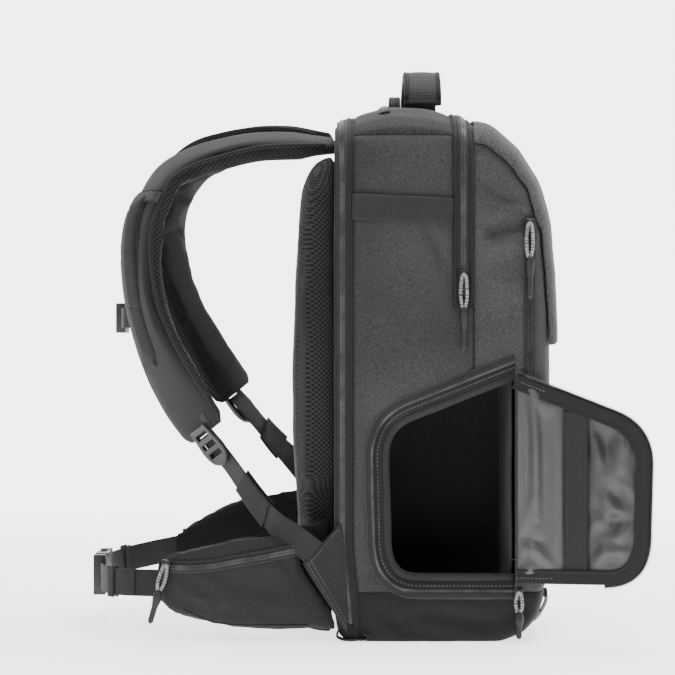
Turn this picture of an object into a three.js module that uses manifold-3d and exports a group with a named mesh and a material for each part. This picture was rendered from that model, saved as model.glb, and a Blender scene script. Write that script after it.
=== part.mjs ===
// A camera backpack standing on its base with the side port open, in millimetres.
// +Z is up, +X is the front of the bag, and -Y is its left side, where the camera port is.
// The origin is the middle of the flat underside, on the bag's mid-plane.
//
// The bag is a padded shell cut into its sewn panels. Straps, belt and webbing are bands swept
// along routes, and the hard pieces are small extruded plates.

import * as THREE from 'three';
import { mergeVertices } from 'three/addons/utils/BufferGeometryUtils.js';
import Module from 'manifold-3d';

const wasm = await Module();
wasm.setup();

// Driving sizes

const bag = {
  width: 300,
  depth: 212,
  height: 521,
  back: -96, // the rear face, behind which the harness pad sits
  wall: 8, // padded wall
  crown: 3, // how far the side panels bulge
  roundness: 2.6,
};
const gap = 0.3; // between pieces that touch
const seam = 0.3; // between sewn panels

const webbing = { wide: 25, narrow: 20, thick: 1.8 };
const halfWidth = bag.width / 2;
const sideFace = halfWidth + bag.crown;

const backFrame = { depth: 17.7, footShift: 10, footHeight: 90 };
const backTape = { from: 5, width: 8, foot: 10 };
const frontGusset = { from: 113, width: 20, bottom: 319 };
const boot = { height: 47 };
const yoke = { height: 38 }; // from its seam up to the crown
const tapeThickness = 1.3;
const zipTapeWidth = 8;

const port = {
  rear: -60.5,
  hinge: 76,
  sill: 48,
  frontTop: 267,
  rearTop: 226,
  rearTopRun: 33,
  rearSide: 178,
  footRun: 46,
  footRise: 57,
  edgeTape: 5,
};
const rim = { rear: 16, sill: 7, top: 3, back: 8, thick: 8 };
const cell = { thick: 3, depth: 160, headroom: 5 };
const door = { widthShare: 0.895, heightShare: 0.89, lift: 10, thick: 6, swing: 0.18 };
const doorBand = { share: 0.46, width: 22 };

const backPad = { depth: 38, halfWidth: 138, top: 470, standOff: 0.5, channel: 9, channelHalf: 24 };
const strap = { width: 70, thick: 18, anchorHeight: 480, reach: 189, drop: 290, spread: 97 };
const sleeve = { width: 30, thick: 3, startShare: 0.4, endShare: 0.78 };
const fin = { reach: 174, rootTop: 117, rootFoot: 6, thick: 12, side: 131, standOff: 1.2 };
const hipWing = { reach: 28, tipHeight: 75, foot: 9.8, footShift: 13, top: 112 };
const pocket = { thick: 26 };
const belt = { height: 26, reach: 64, level: 51, thick: 1.8 };
const beltBuckle = { width: 72, height: 40, thick: 12 };
const handle = { width: 37, span: 124, rise: 38.5, thick: 7, x: -8 };
const hangLoop = { width: 11, span: 60, rise: 15, thick: 2, x: -34.7 };
const sternum = { height: 309, bow: 21, thick: 1.8 };
const sternumBuckle = { width: 46, height: 30, thick: 9 };
const pull = { length: 72, portLength: 44, hipLength: 58, hipLean: -0.27, cord: 3.2, loop: 0.52, opening: 5, tip: 7 };
const slider = { length: 13, width: 9, thick: 4 };

// The bag's outline seen from its side, as shares of the depth and height. The side columns are
// the outline at the side panels, and the mid columns are the outline on the mid-plane.

const outline = [
  { at: 'heel', sideX: 0.056, sideZ: 0, midX: 0.056, midZ: 0 },
  { at: 'sole back', sideX: 0.264, sideZ: 0, midX: 0.264, midZ: 0 },
  { at: 'sole middle', sideX: 0.547, sideZ: 0, midX: 0.547, midZ: 0 },
  { at: 'sole front', sideX: 0.743, sideZ: 0, midX: 0.783, midZ: 0 },
  { at: 'toe low', sideX: 0.83, sideZ: 0.018, midX: 0.879, midZ: 0.01 },
  { at: 'toe', sideX: 0.887, sideZ: 0.05, midX: 0.943, midZ: 0.038 },
  { at: 'toe high', sideX: 0.919, sideZ: 0.092, midX: 0.978, midZ: 0.084 },
  { at: 'shin', sideX: 0.929, sideZ: 0.173, midX: 0.99, midZ: 0.173 },
  { at: 'knee', sideX: 0.929, sideZ: 0.307, midX: 0.997, midZ: 0.307 },
  { at: 'belly', sideX: 0.929, sideZ: 0.451, midX: 1, midZ: 0.451 },
  { at: 'chest', sideX: 0.925, sideZ: 0.576, midX: 1, midZ: 0.576 },
  { at: 'collar', sideX: 0.91, sideZ: 0.672, midX: 0.995, midZ: 0.681 },
  { at: 'brow low', sideX: 0.882, sideZ: 0.749, midX: 0.975, midZ: 0.768 },
  { at: 'brow', sideX: 0.83, sideZ: 0.806, midX: 0.925, midZ: 0.846 },
  { at: 'brow high', sideX: 0.755, sideZ: 0.85, midX: 0.834, midZ: 0.906 },
  { at: 'crown front', sideX: 0.66, sideZ: 0.877, midX: 0.719, midZ: 0.951 },
  { at: 'crown', sideX: 0.547, sideZ: 0.894, midX: 0.575, midZ: 0.979 },
  { at: 'top front', sideX: 0.406, sideZ: 0.904, midX: 0.424, midZ: 0.995 },
  { at: 'top', sideX: 0.241, sideZ: 0.906, midX: 0.254, midZ: 0.998 },
  { at: 'top back', sideX: 0.123, sideZ: 0.898, midX: 0.123, midZ: 0.983 },
  { at: 'nape', sideX: 0.047, sideZ: 0.879, midX: 0.013, midZ: 0.966 },
  { at: 'shoulder', sideX: 0.009, sideZ: 0.845, midX: 0, midZ: 0.925 },
  { at: 'back high', sideX: 0, sideZ: 0.729, midX: 0, midZ: 0.768 },
  { at: 'back middle', sideX: 0, sideZ: 0.48, midX: 0, midZ: 0.48 },
  { at: 'back low', sideX: 0, sideZ: 0.23, midX: 0, midZ: 0.23 },
  { at: 'back foot', sideX: 0, sideZ: 0.058, midX: 0, midZ: 0.058 },
  { at: 'heel high', sideX: 0.019, sideZ: 0.019, midX: 0.015, midZ: 0.012 },
];
const acrossStations = [0, 0.42, 0.7, 0.88, 0.97, 1];
const crownShare = 0.86;

const yokeSeam = bag.height - yoke.height;
const depthAt = (share) => bag.back + share * bag.depth;
const heightAt = (share) => share * bag.height;

// Solids and meshes

function solid(geometry) {
  const bare = geometry.index ? geometry.toNonIndexed() : geometry.clone();
  for (const name of Object.keys(bare.attributes)) {
    if (name !== 'position') bare.deleteAttribute(name);
  }
  const merged = mergeVertices(bare, 1e-4);
  return new wasm.Manifold(new wasm.Mesh({
    numProp: 3,
    vertProperties: new Float32Array(merged.attributes.position.array),
    triVerts: new Uint32Array(merged.index.array),
  }));
}

function geometryOf(manifold) {
  const mesh = manifold.getMesh();
  const geometry = new THREE.BufferGeometry();
  geometry.setAttribute('position', new THREE.BufferAttribute(new Float32Array(mesh.vertProperties), 3));
  geometry.setIndex(new THREE.BufferAttribute(new Uint32Array(mesh.triVerts), 1));
  return geometry;
}

// A closed body through rings of equally many points, with a flat cap on each end.
function loft(rings) {
  const count = rings[0].length;
  const positions = rings.flat().flatMap((p) => [p.x, p.y, p.z]);
  const triangles = [];
  for (let r = 0; r + 1 < rings.length; r += 1) {
    for (let i = 0; i < count; i += 1) {
      const j = (i + 1) % count;
      const [a, b] = [r * count + i, r * count + j];
      triangles.push(a, b, b + count, a, b + count, a + count);
    }
  }
  for (const [r, flip] of [[0, true], [rings.length - 1, false]]) {
    for (const face of capFaces(rings[r])) {
      const corners = flip ? [face[2], face[1], face[0]] : face;
      triangles.push(...corners.map((k) => r * count + k));
    }
  }
  if (signedVolume(positions, triangles) < 0) {
    for (let t = 0; t < triangles.length; t += 3) {
      [triangles[t], triangles[t + 1]] = [triangles[t + 1], triangles[t]];
    }
  }
  const geometry = new THREE.BufferGeometry();
  geometry.setAttribute('position', new THREE.Float32BufferAttribute(positions, 3));
  geometry.setIndex(triangles);
  return solid(geometry);
}

function capFaces(ring) {
  const normal = new THREE.Vector3();
  ring.forEach((p, i) => normal.add(new THREE.Vector3().crossVectors(p, ring[(i + 1) % ring.length])));
  normal.normalize();
  const right = new THREE.Vector3().subVectors(ring[1], ring[0]).normalize();
  const up = new THREE.Vector3().crossVectors(normal, right);
  const flat = ring.map((p) => new THREE.Vector2(p.dot(right), p.dot(up)));
  return THREE.ShapeUtils.triangulateShape(flat, []);
}

function signedVolume(positions, triangles) {
  const point = (k) => new THREE.Vector3().fromArray(positions, 3 * k);
  let volume = 0;
  for (let t = 0; t < triangles.length; t += 3) {
    const [a, b, c] = [point(triangles[t]), point(triangles[t + 1]), point(triangles[t + 2])];
    volume += a.dot(b.cross(c)) / 6;
  }
  return volume;
}

// Drops any sliver a cut leaves beside the main body.
const whole = (manifold) => manifold.decompose().reduce((a, b) => (a.volume() > b.volume() ? a : b));

// Moves a closed loop of [x, z] points outwards. The loop runs anticlockwise.
function offsetLoop(points, distance) {
  return points.map((p, i) => {
    const before = points[(i + points.length - 1) % points.length];
    const after = points[(i + 1) % points.length];
    const run = new THREE.Vector2(after[0] - before[0], after[1] - before[1]).normalize();
    return [p[0] + run.y * distance, p[1] - run.x * distance];
  });
}

// A prism across the bag, from one y to another, over a loop of [x, z] points.
function prism(points, fromY = -2 * bag.width, toY = 2 * bag.width) {
  const shape = new THREE.Shape(points.map(([x, z]) => new THREE.Vector2(x, z)));
  const geometry = new THREE.ExtrudeGeometry(shape, { depth: toY - fromY, bevelEnabled: false, steps: 1 });
  geometry.rotateX(Math.PI / 2);
  geometry.translate(0, toY, 0);
  return solid(geometry);
}

function box(x0, x1, y0, y1, z0, z1) {
  const geometry = new THREE.BoxGeometry(x1 - x0, y1 - y0, z1 - z0);
  geometry.translate((x0 + x1) / 2, (y0 + y1) / 2, (z0 + z1) / 2);
  return solid(geometry);
}

// The bag's outer form, grown outwards by a distance, or shrunk where it is negative.
function bodyForm(grow) {
  const ringAt = (share, y, shrink = 1) => {
    const blend = (1 - share ** bag.roundness) ** (1 / bag.roundness);
    const points = outline.map((row) => [
      depthAt(row.sideX + (row.midX - row.sideX) * blend),
      heightAt(row.sideZ + (row.midZ - row.sideZ) * blend),
    ]);
    const [cx, cz] = [depthAt(0.469), heightAt(0.45)];
    return offsetLoop(points, grow).map(([x, z]) => (
      new THREE.Vector3(cx + (x - cx) * shrink, y, cz + (z - cz) * shrink)));
  };
  const side = halfWidth + grow;
  const rings = acrossStations.map((share) => ringAt(share, share * side));
  rings.push(ringAt(1, side + bag.crown, crownShare));
  const mirrored = rings.slice(1).reverse().map((ring) => (
    ring.map((p) => new THREE.Vector3(p.x, -p.y, p.z))));
  return loft([...mirrored, ...rings]);
}

const outer = bodyForm(0);
const shell = outer.subtract(bodyForm(-bag.wall));

// A thin layer on the bag's surface, over a region of its side view.
function layer(region, thickness, lift = gap) {
  return bodyForm(lift + thickness).subtract(bodyForm(lift)).intersect(region);
}

// The port's outline, from the sill's front corner round the rear and back up to the hinge.
function portLoop(grow = 0) {
  const shape = new THREE.Shape();
  shape.moveTo(port.hinge, port.frontTop);
  shape.lineTo(port.rear + port.rearTopRun, port.rearTop);
  shape.quadraticCurveTo(port.rear + 2, port.rearTop - 0.4 * port.rearTopRun, port.rear, port.rearSide);
  shape.lineTo(port.rear + 2, port.sill + port.footRise);
  shape.quadraticCurveTo(port.rear, port.sill, port.rear + port.footRun, port.sill);
  shape.lineTo(port.hinge, port.sill);
  const points = shape.getPoints(7).map((p) => [p.x, p.y]);
  return offsetLoop(points, grow);
}

// Bands swept along a route

const Y = new THREE.Vector3(0, 1, 0);

// Points at even steps along a route, with every other column of its rows carried along.
function follow(rows, steps) {
  const curve = new THREE.CatmullRomCurve3(rows.map((row) => row.at), false, 'centripetal');
  const columns = Object.keys(rows[0]).filter((name) => name !== 'at');
  return Array.from({ length: steps + 1 }, (_, k) => {
    const t = k / steps;
    const place = t * (rows.length - 1);
    const low = Math.min(Math.floor(place), rows.length - 2);
    const blend = place - low;
    const station = { at: curve.getPoint(t), along: curve.getTangent(t) };
    for (const name of columns) {
      const [a, b] = [rows[low][name], rows[low + 1][name]];
      station[name] = a.isVector3 ? a.clone().lerp(b, blend) : a + (b - a) * blend;
    }
    return station;
  });
}

// The axes of a section: across its width, and out through its outer face.
function frameOf({ along, across, outward }) {
  const wide = across
    ? across.clone().addScaledVector(along, -across.dot(along)).normalize()
    : new THREE.Vector3().crossVectors(along, outward).normalize();
  const out = new THREE.Vector3().crossVectors(wide, along).normalize();
  return { across: wide, out: outward && out.dot(outward) < 0 ? out.negate() : out };
}

// Each station gives the middle, the width direction, the width and the thickness of one section.
function sweep(stations, section, { lift = 0, shift = 0, grow = 0 } = {}) {
  return loft(stations.map((s) => {
    const { across, out } = frameOf(s);
    const middle = s.at.clone().addScaledVector(out, lift).addScaledVector(across, shift);
    return section.map(([c, n]) => middle.clone()
      .addScaledVector(across, (s.width / 2 + grow) * c)
      .addScaledVector(out, (s.thick / 2 + grow) * n));
  }));
}

// The same stations with both ends carried on by a distance.
function extended(stations, atStart, atEnd = atStart) {
  const [first, last] = [stations[0], stations.at(-1)];
  const move = (s, distance) => ({ ...s, at: s.at.clone().addScaledVector(s.along, distance) });
  return [
    ...(atStart > 0 ? [move(first, -atStart)] : []),
    ...stations,
    ...(atEnd > 0 ? [move(last, atEnd)] : []),
  ];
}

// A rounded section, squarer as the power rises, and the square section of webbing.
const roundSection = (corners, power) => Array.from({ length: corners }, (_, k) => {
  const angle = (2 * Math.PI * (k + 0.5)) / corners;
  const [c, n] = [Math.cos(angle), Math.sin(angle)];
  const reach = (Math.abs(c) ** power + Math.abs(n) ** power) ** (-1 / power);
  return [c * reach, n * reach];
});
const padSection = roundSection(10, 3.2);
const finSection = roundSection(10, 4);
const pocketSection = roundSection(12, 2.8);
const flatSection = [[1, 1], [-1, 1], [-1, -1], [1, -1]];

// Sewn panels of the shell

const frameRear = bag.back - bag.depth;
const frameFront = bag.back + backFrame.depth;
const frameFoot = frameFront + backFrame.footShift;
const gussetRear = bag.back + frontGusset.from;
const gussetFront = gussetRear + frontGusset.width;
const farFront = bag.back + 2 * bag.depth;
const farTop = 2 * bag.height;
const cutter = prism(portLoop(), -2 * bag.width, -bag.width / 3);

const frameLoop = [
  [frameRear, -bag.height], [frameFoot, -bag.height], [frameFoot, boot.height / 2],
  [frameFront, backFrame.footHeight], [frameFront, farTop], [frameRear, farTop],
];
const ahead = shell.subtract(prism(offsetLoop(frameLoop, seam)));
const strip = (x0, x1, z0, z1) => [[x0, z0], [x1, z0], [x1, z1], [x0, z1]];

const panels = {
  frame: shell.intersect(prism(frameLoop)),
  boot: ahead.intersect(prism(strip(frameRear, farFront, -bag.height, boot.height))),
  sides: ahead.intersect(prism([
    [frameRear, boot.height + seam], [gussetFront, boot.height + seam],
    [gussetFront, frontGusset.bottom], [gussetRear, frontGusset.bottom],
    [gussetRear, yokeSeam], [frameRear, yokeSeam],
  ])),
  yoke: ahead.intersect(prism(strip(frameRear, gussetRear, yokeSeam + seam, farTop))),
  gusset: shell.intersect(prism(strip(gussetRear + seam, gussetFront, frontGusset.bottom + seam, farTop))),
  front: shell.intersect(prism(strip(gussetFront + seam, farFront, boot.height + seam, farTop)))
    .subtract(cutter),
};
const leftHalf = box(frameRear, farFront, -bag.width, 0, -bag.height, farTop);
const rightHalf = box(frameRear, farFront, 0, bag.width, -bag.height, farTop);

// Zips, webbing and the front flap, as layers on the shell

const tapeRear = bag.back + backTape.from;
const tapeFoot = tapeRear + backFrame.footShift;
const backTapeLoop = [
  [tapeFoot, backTape.foot], [tapeFoot + backTape.width, backTape.foot],
  [tapeFoot + backTape.width, boot.height / 2], [tapeRear + backTape.width, backFrame.footHeight],
  [tapeRear + backTape.width, farTop], [tapeRear, farTop], [tapeRear, backFrame.footHeight],
  [tapeFoot, boot.height / 2],
];
const backZipTape = layer(prism(backTapeLoop), tapeThickness);
const bagCut = bodyForm(gap)
  .add(layer(prism(offsetLoop(backTapeLoop, gap)), tapeThickness + 2 * gap, 0));

const frontTapeRear = gussetRear + (frontGusset.width - zipTapeWidth) / 2;
const frontZipTape = layer(
  prism(strip(frontTapeRear, frontTapeRear + zipTapeWidth, frontGusset.bottom + 10, farTop)),
  tapeThickness,
);

const topZip = { x: depthAt(0.208), width: 10, halfSpan: 118 };
const topZipTape = layer(
  prism(strip(topZip.x, topZip.x + topZip.width, yokeSeam, farTop), -topZip.halfSpan, topZip.halfSpan),
  tapeThickness,
);

const sideWeb = { height: 413, drop: 2 };
const sideWebLow = sideWeb.height - webbing.wide / 2;
const sideWebHigh = sideWeb.height + webbing.wide / 2;
const sideWebbing = layer(prism([
  [frameFront + 1, sideWebLow], [gussetRear - 1, sideWebLow - sideWeb.drop],
  [gussetRear - 1, sideWebHigh - sideWeb.drop], [frameFront + 1, sideWebHigh],
]), webbing.thick);

const flap = { bottom: 286, thick: 4, inset: 3, lift: 0.4 };
const flapHalf = halfWidth - flap.inset;
const frontFlap = layer(
  prism(strip(gussetFront + 1, farFront, flap.bottom, farTop), -flapHalf, flapHalf),
  flap.thick,
  flap.lift,
);

// The zip of the front pocket runs down each side, just behind the front edge.
const pocketZip = { x: depthAt(0.85), width: 10, top: 402, bottom: 244 };
const pocketZipTape = layer(
  prism(strip(pocketZip.x, pocketZip.x + pocketZip.width, pocketZip.bottom, pocketZip.top)),
  tapeThickness,
).subtract(box(frameRear, farFront, -flapHalf - 2 * gap, flapHalf + 2 * gap, 0, farTop));

// The open port: the tape round its edge and the padded rim of the camera cell inside it.
const behindHinge = box(frameRear, port.hinge, -bag.width, 0, 0, farTop);
const portTape = layer(prism(portLoop(port.edgeTape), -bag.width, 0), tapeThickness)
  .subtract(prism(portLoop(-1), -bag.width, 0))
  .intersect(behindHinge);

const rimOpening = portLoop().map(([x, z]) => [
  port.hinge - (port.hinge - x) * (1 - rim.rear / (port.hinge - port.rear)),
  port.sill + rim.sill + (z - port.sill) * (1 - (rim.sill + rim.top) / (port.frontTop - port.sill)),
]);
const rimFace = -halfWidth + bag.wall + 2 * gap;
const cellRim = bodyForm(-bag.wall - gap)
  .intersect(prism(portLoop(rim.back), -bag.width, rimFace + rim.thick))
  .subtract(prism(rimOpening, -bag.width, 0))
  .intersect(box(frameRear, port.hinge - 4, -bag.width, 0, 0, farTop));

// The camera cell behind the rim: a bin that is open towards the port and stands on the base.
const cellNear = rimFace + rim.thick + gap;
function cellForm(inset, near) {
  return bodyForm(-bag.wall - gap - inset).intersect(box(
    port.rear - rim.back + gap + inset, port.hinge - inset,
    near, cellNear + cell.depth - inset,
    -bag.height, port.frontTop + cell.headroom - inset,
  ));
}
const cameraCell = cellForm(0, cellNear).subtract(cellForm(cell.thick, cellNear - cell.thick));

// The door hangs open from the port's front edge, with its lining towards the viewer's side.
function doorLoop(grow) {
  const loop = portLoop().map(([x, z]) => [
    port.hinge + 1 + (port.hinge - x) * door.widthShare,
    port.sill + door.lift + (z - port.sill) * door.heightShare,
  ]).reverse();
  return offsetLoop(loop, grow);
}
function doorPlate(loop, near, thick) {
  const start = -sideFace - gap - near;
  const plate = prism(loop, start - thick, start);
  return plate.warp((v) => {
    v[1] -= door.swing * (v[0] - port.hinge);
  });
}
const doorPanel = doorPlate(doorLoop(0), 0, door.thick);
const bandX = port.hinge + doorBand.share * (port.hinge - port.rear) * door.widthShare;
const doorWebbing = doorPlate(
  strip(bandX - doorBand.width / 2, bandX + doorBand.width / 2, 0, farTop),
  door.thick + gap,
  webbing.thick,
).intersect(prism(doorLoop(-9)));
const doorTape = doorPlate(doorLoop(4), door.thick / 2 - 0.7, 1.4)
  .subtract(doorPlate(doorLoop(gap), -door.thick, 3 * door.thick))
  .intersect(box(port.hinge + 8, farFront, -bag.width, 0, 0, farTop));

// The harness

const padSections = [
  { up: 0.04, depth: 0.45, half: 0.8 },
  { up: 0.12, depth: 0.8, half: 0.87 },
  { up: 0.29, depth: 0.9, half: 0.88 },
  { up: 0.33, depth: 0.94, half: 1 },
  { up: 0.42, depth: 0.99, half: 1 },
  { up: 0.55, depth: 1, half: 1 },
  { up: 0.71, depth: 0.94, half: 0.98 },
  { up: 0.86, depth: 0.84, half: 0.93 },
  { up: 0.93, depth: 0.75, half: 0.86 },
  { up: 0.975, depth: 0.58, half: 0.76 },
  { up: 1, depth: 0.34, half: 0.66 },
];
const harnessPad = loft(padSections.map((row) => {
  const shares = [-1, -0.985, -0.93, -0.8, -0.5, -0.2, -0.1, 0, 0.1, 0.2, 0.5, 0.8, 0.93, 0.985, 1];
  const half = row.half * backPad.halfWidth;
  const face = bag.back - backPad.standOff;
  const point = (share, x) => new THREE.Vector3(x, share * half, row.up * backPad.top);
  const points = shares.map((share) => {
    const rounded = row.depth * backPad.depth * (1 - Math.abs(share) ** 7) ** (1 / 4);
    const groove = backPad.channel * row.depth * Math.exp(-((share * half / backPad.channelHalf) ** 4));
    return point(share, face - Math.max(rounded - groove, 1));
  });
  return [...points, point(0.99, face), point(-0.99, face)];
}));

// Shoulder straps. The columns give the middle of each section: how far it reaches behind the
// anchor, how far it has dropped, how far it stands from the mid-plane, how it is rolled
// outwards, and its width and thickness. The right strap hangs a little closer to the back.

const leftRoute = [
  { reach: 0, drop: 0, apart: 0.52, roll: 8, width: 0.8, thick: 0.55 },
  { reach: 0.16, drop: 0, apart: 0.58, roll: 12, width: 0.95, thick: 0.95 },
  { reach: 0.36, drop: 0.005, apart: 0.64, roll: 14, width: 1, thick: 1 },
  { reach: 0.55, drop: 0.032, apart: 0.7, roll: 16, width: 1, thick: 1 },
  { reach: 0.71, drop: 0.064, apart: 0.76, roll: 18, width: 1, thick: 1 },
  { reach: 0.832, drop: 0.116, apart: 0.82, roll: 20, width: 1, thick: 1 },
  { reach: 0.9, drop: 0.195, apart: 0.87, roll: 23, width: 1, thick: 1 },
  { reach: 0.948, drop: 0.265, apart: 0.9, roll: 26, width: 1, thick: 1 },
  { reach: 0.965, drop: 0.345, apart: 0.93, roll: 28, width: 1, thick: 1 },
  { reach: 0.958, drop: 0.455, apart: 0.95, roll: 29, width: 1, thick: 1 },
  { reach: 0.929, drop: 0.565, apart: 0.96, roll: 30, width: 1.02, thick: 1 },
  { reach: 0.871, drop: 0.68, apart: 0.97, roll: 32, width: 1.1, thick: 1 },
  { reach: 0.8, drop: 0.78, apart: 0.98, roll: 34, width: 1.15, thick: 1 },
  { reach: 0.718, drop: 0.875, apart: 0.99, roll: 37, width: 1.12, thick: 0.8 },
  { reach: 0.641, drop: 0.95, apart: 1, roll: 39, width: 1.02, thick: 0.6 },
  { reach: 0.611, drop: 0.975, apart: 1, roll: 40, width: 0.75, thick: 0.5 },
];
const rightRoute = [
  { reach: 0, drop: -0.035, apart: 0.52, roll: 8, width: 0.8, thick: 0.55 },
  { reach: 0.17, drop: -0.045, apart: 0.58, roll: 12, width: 0.95, thick: 0.95 },
  { reach: 0.37, drop: -0.045, apart: 0.64, roll: 14, width: 1, thick: 1 },
  { reach: 0.56, drop: -0.025, apart: 0.7, roll: 16, width: 1, thick: 1 },
  { reach: 0.69, drop: 0.005, apart: 0.76, roll: 20, width: 1, thick: 1 },
  { reach: 0.79, drop: 0.055, apart: 0.82, roll: 22, width: 1, thick: 1 },
  { reach: 0.875, drop: 0.135, apart: 0.87, roll: 24, width: 1, thick: 1 },
  { reach: 0.92, drop: 0.25, apart: 0.9, roll: 26, width: 1, thick: 1 },
  { reach: 0.905, drop: 0.38, apart: 0.93, roll: 28, width: 1, thick: 1 },
  { reach: 0.833, drop: 0.525, apart: 0.95, roll: 29, width: 1, thick: 1 },
  { reach: 0.711, drop: 0.675, apart: 0.96, roll: 30, width: 1, thick: 1 },
  { reach: 0.588, drop: 0.797, apart: 0.98, roll: 32, width: 1, thick: 0.8 },
  { reach: 0.538, drop: 0.838, apart: 1, roll: 34, width: 0.95, thick: 0.6 },
  { reach: 0.512, drop: 0.858, apart: 1, roll: 34, width: 0.72, thick: 0.5 },
];

const strapAnchorX = bag.back - 6;
function strapStations(route, side, steps) {
  const rows = route.map((row) => ({
    at: new THREE.Vector3(
      strapAnchorX - row.reach * strap.reach,
      side * row.apart * strap.spread,
      strap.anchorHeight - row.drop * strap.drop,
    ),
    roll: THREE.MathUtils.degToRad(row.roll),
    width: row.width * strap.width,
    thick: row.thick * strap.thick,
  }));
  return follow(rows, steps).map((s) => {
    const away = new THREE.Vector3(s.along.z, 0, -s.along.x).normalize();
    const across = new THREE.Vector3(0, side, 0).multiplyScalar(Math.cos(s.roll))
      .addScaledVector(away, -Math.sin(s.roll));
    return { ...s, across, outward: away };
  });
}
const strapSteps = 19;
const straps = [[-1, leftRoute], [1, rightRoute]].map(([side, route]) => {
  const stations = strapStations(route, side, strapSteps);
  return { side, route, stations, last: stations.at(-1) };
});

function strapSleeve({ stations }) {
  const held = stations
    .filter((_, k) => k >= sleeve.startShare * strapSteps && k <= sleeve.endShare * strapSteps)
    .map((s) => ({ ...s, width: sleeve.width, thick: sleeve.thick }));
  return sweep(held, flatSection, {
    lift: strap.thick / 2 + sleeve.thick / 2 + gap,
    shift: -sleeve.width * 0.22,
  });
}

// Lower webbing: straight out of the ladder lock at the strap's end, then down to the hip wing.

const lock = { length: 42, rim: 4, plate: 3.4, bevel: 0.8, overlap: 9 };
const lockLift = (last) => 1.25 * last.thick / 2 + gap + lock.plate / 2 + lock.bevel;
const webRoutes = {
  left: [
    { reach: 0.35, drop: 1.212, apart: 1.3 }, { reach: 0.26, drop: 1.27, apart: 1.5 },
    { reach: 0.165, drop: 1.312, apart: 1.58 }, { reach: 0.04, drop: 1.375, apart: 1.61 },
  ],
  right: [
    { reach: 0.32, drop: 1.032, apart: 1.2 }, { reach: 0.22, drop: 1.105, apart: 1.42 },
    { reach: 0.14, drop: 1.165, apart: 1.57 }, { reach: 0.02, drop: 1.25, apart: 1.61 },
  ],
};
function webStations(route, { side, last }) {
  const { out } = frameOf(last);
  const lift = lockLift(last) - lock.plate / 2 - lock.bevel - gap - webbing.thick / 2;
  const flatOn = new THREE.Vector3(0, side, 0);
  const straight = [0, 0.42, 0.84].map((share) => ({
    at: last.at.clone().addScaledVector(last.along, share * lock.length).addScaledVector(out, lift),
    outward: out,
  }));
  const rest = route.map((row, k) => ({
    at: new THREE.Vector3(
      strapAnchorX - row.reach * strap.reach,
      side * row.apart * strap.spread,
      strap.anchorHeight - row.drop * strap.drop,
    ),
    outward: out.clone().lerp(flatOn, (k + 1) / route.length).normalize(),
  }));
  const rows = [...straight, ...rest];
  return follow(rows.map((row) => ({ ...row, width: webbing.wide, thick: webbing.thick })), 14);
}
const webs = straps.map((item) => webStations(webRoutes[item.side < 0 ? 'left' : 'right'], item));

function keeper(stations, from, to) {
  return sweep(stations.slice(from, to + 1), flatSection, { grow: gap + 1.6 })
    .subtract(sweep(stations.slice(from - 1, to + 2), flatSection, { grow: gap }));
}

// A ladder lock: a rounded frame with three slots, on the outer face of a strap's end.
function ladderLock(last) {
  const wide = webbing.wide / 2 + lock.rim;
  const long = lock.length;
  const shape = new THREE.Shape();
  shape.moveTo(-wide * 0.8, 0);
  shape.lineTo(wide * 0.8, 0);
  shape.lineTo(wide, long * 0.55);
  shape.quadraticCurveTo(wide, long, 0, long);
  shape.quadraticCurveTo(-wide, long, -wide, long * 0.55);
  for (const [from, half] of [[0.11, 0.64], [0.37, 0.72], [0.62, 0.68]]) {
    const slot = new THREE.Path();
    const [low, high] = [from * long, (from + 0.16) * long];
    slot.moveTo(-half * wide, low);
    slot.lineTo(-half * wide, high);
    slot.lineTo(half * wide, high);
    slot.lineTo(half * wide, low);
    shape.holes.push(slot);
  }
  const geometry = new THREE.ExtrudeGeometry(shape, {
    depth: lock.plate,
    bevelEnabled: true,
    bevelThickness: lock.bevel,
    bevelSize: lock.bevel,
    bevelSegments: 1,
    curveSegments: 4,
  });
  geometry.translate(0, -lock.overlap, -lock.plate / 2);
  const { out } = frameOf(last);
  const right = new THREE.Vector3().crossVectors(last.along, out);
  geometry.applyMatrix4(new THREE.Matrix4().makeBasis(right, last.along, out)
    .setPosition(last.at.clone().addScaledVector(out, lockLift(last))));
  return solid(geometry);
}

// The hip belt. The columns run from the root at the bag to the tip: how far the section
// reaches behind the back, its place across, and the lower and upper edges.

const finRows = [
  { reach: 0, across: 1, foot: 0, top: 1 },
  { reach: 0.16, across: 1.004, foot: 0.01, top: 0.97 },
  { reach: 0.33, across: 0.985, foot: 0.033, top: 0.92 },
  { reach: 0.55, across: 0.94, foot: 0.068, top: 0.85 },
  { reach: 0.76, across: 0.885, foot: 0.118, top: 0.76 },
  { reach: 0.91, across: 0.84, foot: 0.17, top: 0.69 },
  { reach: 0.98, across: 0.818, foot: 0.25, top: 0.62 },
];
const pocketRows = [
  { reach: -0.06, across: 1.06, foot: 0.01, top: 0.7, thick: 0.5 },
  { reach: 0.12, across: 1.07, foot: 0, top: 0.9, thick: 0.6 },
  { reach: 0.33, across: 1.07, foot: 0.01, top: 0.89, thick: 0.95 },
  { reach: 0.55, across: 1.045, foot: 0.035, top: 0.85, thick: 1 },
  { reach: 0.76, across: 0.985, foot: 0.09, top: 0.765, thick: 0.85 },
  { reach: 0.9, across: 0.93, foot: 0.17, top: 0.69, thick: 0.5 },
  { reach: 0.95, across: 0.905, foot: 0.25, top: 0.62, thick: 0.3 },
];
const finTilt = { left: 0, right: 18 }; // the right fin stands a little higher, most at its middle
const riseAt = (tilt, reach) => tilt * THREE.MathUtils.smoothstep(reach, -0.02, 0.2)
  * (1 - 0.75 * THREE.MathUtils.smoothstep(reach, 0.6, 1));
const finX = (reach) => bag.back - fin.standOff - reach * fin.reach;
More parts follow.
